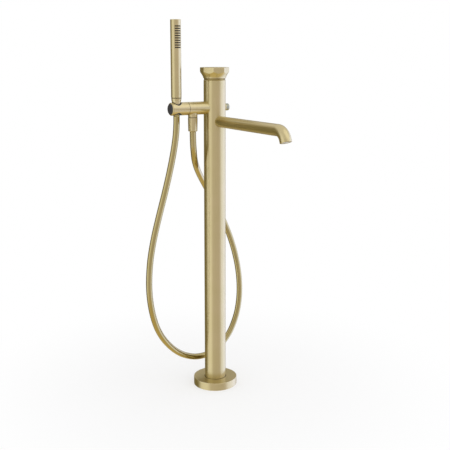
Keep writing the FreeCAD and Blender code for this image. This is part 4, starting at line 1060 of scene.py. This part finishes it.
def studio_tone(tree, direction, turn):
    """The studio's colour in a direction, by its angle round from the front, which turn gives: dim warm
    behind on the left, a soft box on the left, plain in front and a larger cool soft box on the right.
    Overhead it is even, and straight down it is a warm dim floor."""
    facing = (-math.sin(turn), -math.cos(turn))
    right = (math.cos(turn), -math.sin(turn))
    x, y, z = tree.parts(direction)
    front = x * facing[0] + y * facing[1]
    sideways = x * right[0] + y * right[1]
    angle = sideways.math("ARCTAN2", sideways, front) / TAU + 0.5
    stops = [
        (0.0, (0.30, 0.26, 0.17)),
        (0.09, (0.25, 0.21, 0.10)),
        (0.22, (0.24, 0.20, 0.085)),
        (0.275, (1.12, 1.12, 1.12)),
        (0.39, (1.20, 1.20, 1.20)),
        (0.43, (0.75, 0.70, 0.67)),
        (0.655, (0.72, 0.66, 0.65)),
        (0.705, (1.22, 1.30, 1.70)),
        (0.85, (1.38, 1.50, 2.20)),
        (0.92, (0.9, 0.9, 0.95)),
        (0.96, (0.42, 0.38, 0.30)),
        (1.0, (0.30, 0.26, 0.17)),
    ]
    ramp = {"stops": stops, "interpolation": "EASE"}
    round_about = tree.node("ShaderNodeValToRGB", ramp, {0: angle}).out()
    tone = tree.mix(z.between(0.32, 0.56), round_about, (0.90, 0.88, 0.86))
    return tree.mix(z.between(-0.48, -0.8), tone, (0.84, 0.69, 0.36))


class FILLER_OT_stage(Operator):
    """Set the pale floor, the soft lamp and the studio round the object"""

    bl_idname = "filler.stage"
    bl_label = "Stage"

    def execute(self, context):
        scene = context.scene
        scene.view_settings.view_transform = "Standard"

        world = bpy.data.worlds.new("studio")
        scene.world = world
        tree = Tree(world)
        direction = tree.node("ShaderNodeTexCoord").out("Generated")
        rays = tree.node("ShaderNodeLightPath")
        tone = studio_tone(tree, direction, scene.filler_view.turn)
        tone = tree.mix(rays.value("Is Camera Ray"), tone, (1.0, 1.0, 1.0))
        tone = tree.mix(rays.value("Is Diffuse Ray"), tone, (0.95, 0.95, 0.95))
        back = tree.node("ShaderNodeBackground", None, {"Color": tone})
        tree.node("ShaderNodeOutputWorld", None, {"Surface": back})

        # the floor is a flat disc with 6 m radius, its rings closer together near the object
        radius = np.concatenate([[0], np.geomspace(0.05, 6.0, 48)])
        angle = np.arange(ROUND) * TAU / ROUND
        rings = np.stack(
            [
                radius[:, None] * np.cos(angle),
                -radius[:, None] * np.sin(angle),
                np.zeros((len(radius), ROUND)),
            ],
            -1,
        )
        floor = merged(piece("floor", rings))
        made, tree = material("pale_floor")
        x, y, _ = tree.parts(tree.place())
        away = (x * x + y * y) ** 0.5
        rays = tree.node("ShaderNodeLightPath")
        plain = tree.node("ShaderNodeBsdfDiffuse", None, {"Color": (0.9, 0.9, 0.9)})
        white = tree.node("ShaderNodeEmission", None, {"Color": (1.0, 1.0, 1.0)})
        # the camera sees it white, but near the object nearly half of it is plain and keeps the shadow
        shown = rays.value("Is Camera Ray") * (0.55 + 0.45 * away.between(0.2, 0.75))
        surface = tree.node("ShaderNodeMixShader", None, {0: shown, 1: plain, 2: white})
        # metal and glass mirror the studio itself, below the floor as well
        mirrored = (rays.value("Is Glossy Ray") + rays.value("Is Transmission Ray")).clamped()
        open_air = tree.node("ShaderNodeBsdfTransparent")
        surface = tree.node("ShaderNodeMixShader", None, {0: mirrored, 1: surface, 2: open_air})
        tree.node("ShaderNodeOutputMaterial", None, {"Surface": surface})
        floor.data.materials.append(made)

        light = bpy.data.lights.new("soft_box", "AREA")
        light.shape = "RECTANGLE"
        light.size = light.size_y = 3.2
        light.energy = 13
        lamp = bpy.data.objects.new("soft_box", light)
        place, aim = Vector((0.9, -1.8, 3.0)), Vector((0, 0, 0.4))
        lamp.location = place
        lamp.rotation_euler = (place - aim).to_track_quat("Z", "Y").to_euler()
        scene.collection.objects.link(lamp)
        return {"FINISHED"}


# ---------------------------------------------------------------- add-on


class FILLER_PT_panel(Panel):
    """Lists the filler's pieces, sizes and colours"""

    bl_idname = "FILLER_PT_panel"
    bl_label = "Bath filler"
    bl_space_type = "VIEW_3D"
    bl_region_type = "UI"
    bl_category = "Bath filler"

    def draw(self, context):
        for operator in OPERATORS:
            self.layout.operator(operator.bl_idname)
        for group in (context.scene.filler_sizes, context.scene.filler_colours, context.scene.filler_view):
            box = self.layout.box()
            for name in group.__annotations__:
                box.prop(group, name)


OPERATORS = (
    FILLER_OT_camera,
    FILLER_OT_hose,
    FILLER_OT_knob,
    FILLER_OT_base,
    FILLER_OT_spout,
    FILLER_OT_fittings,
    FILLER_OT_finishes,
    FILLER_OT_stage,
)
CLASSES = (FillerSizes, FillerColours, FillerView, *OPERATORS, FILLER_PT_panel)


def register():
    for kind in CLASSES:
        bpy.utils.register_class(kind)
    bpy.types.Scene.filler_sizes = PointerProperty(type=FillerSizes)
    bpy.types.Scene.filler_colours = PointerProperty(type=FillerColours)
    bpy.types.Scene.filler_view = PointerProperty(type=FillerView)


def unregister():
    del bpy.types.Scene.filler_view
    del bpy.types.Scene.filler_colours
    del bpy.types.Scene.filler_sizes
    for kind in reversed(CLASSES):
        bpy.utils.unregister_class(kind)


def main():
    """Builds everything in order."""
    register()
    bpy.ops.filler.camera()
    bpy.ops.filler.hose()
    bpy.ops.filler.knob()
    bpy.ops.filler.base()
    bpy.ops.filler.spout()
    bpy.ops.filler.fittings()
    bpy.ops.filler.finishes()
    bpy.ops.filler.stage()


if __name__ == "__main__":
    main()
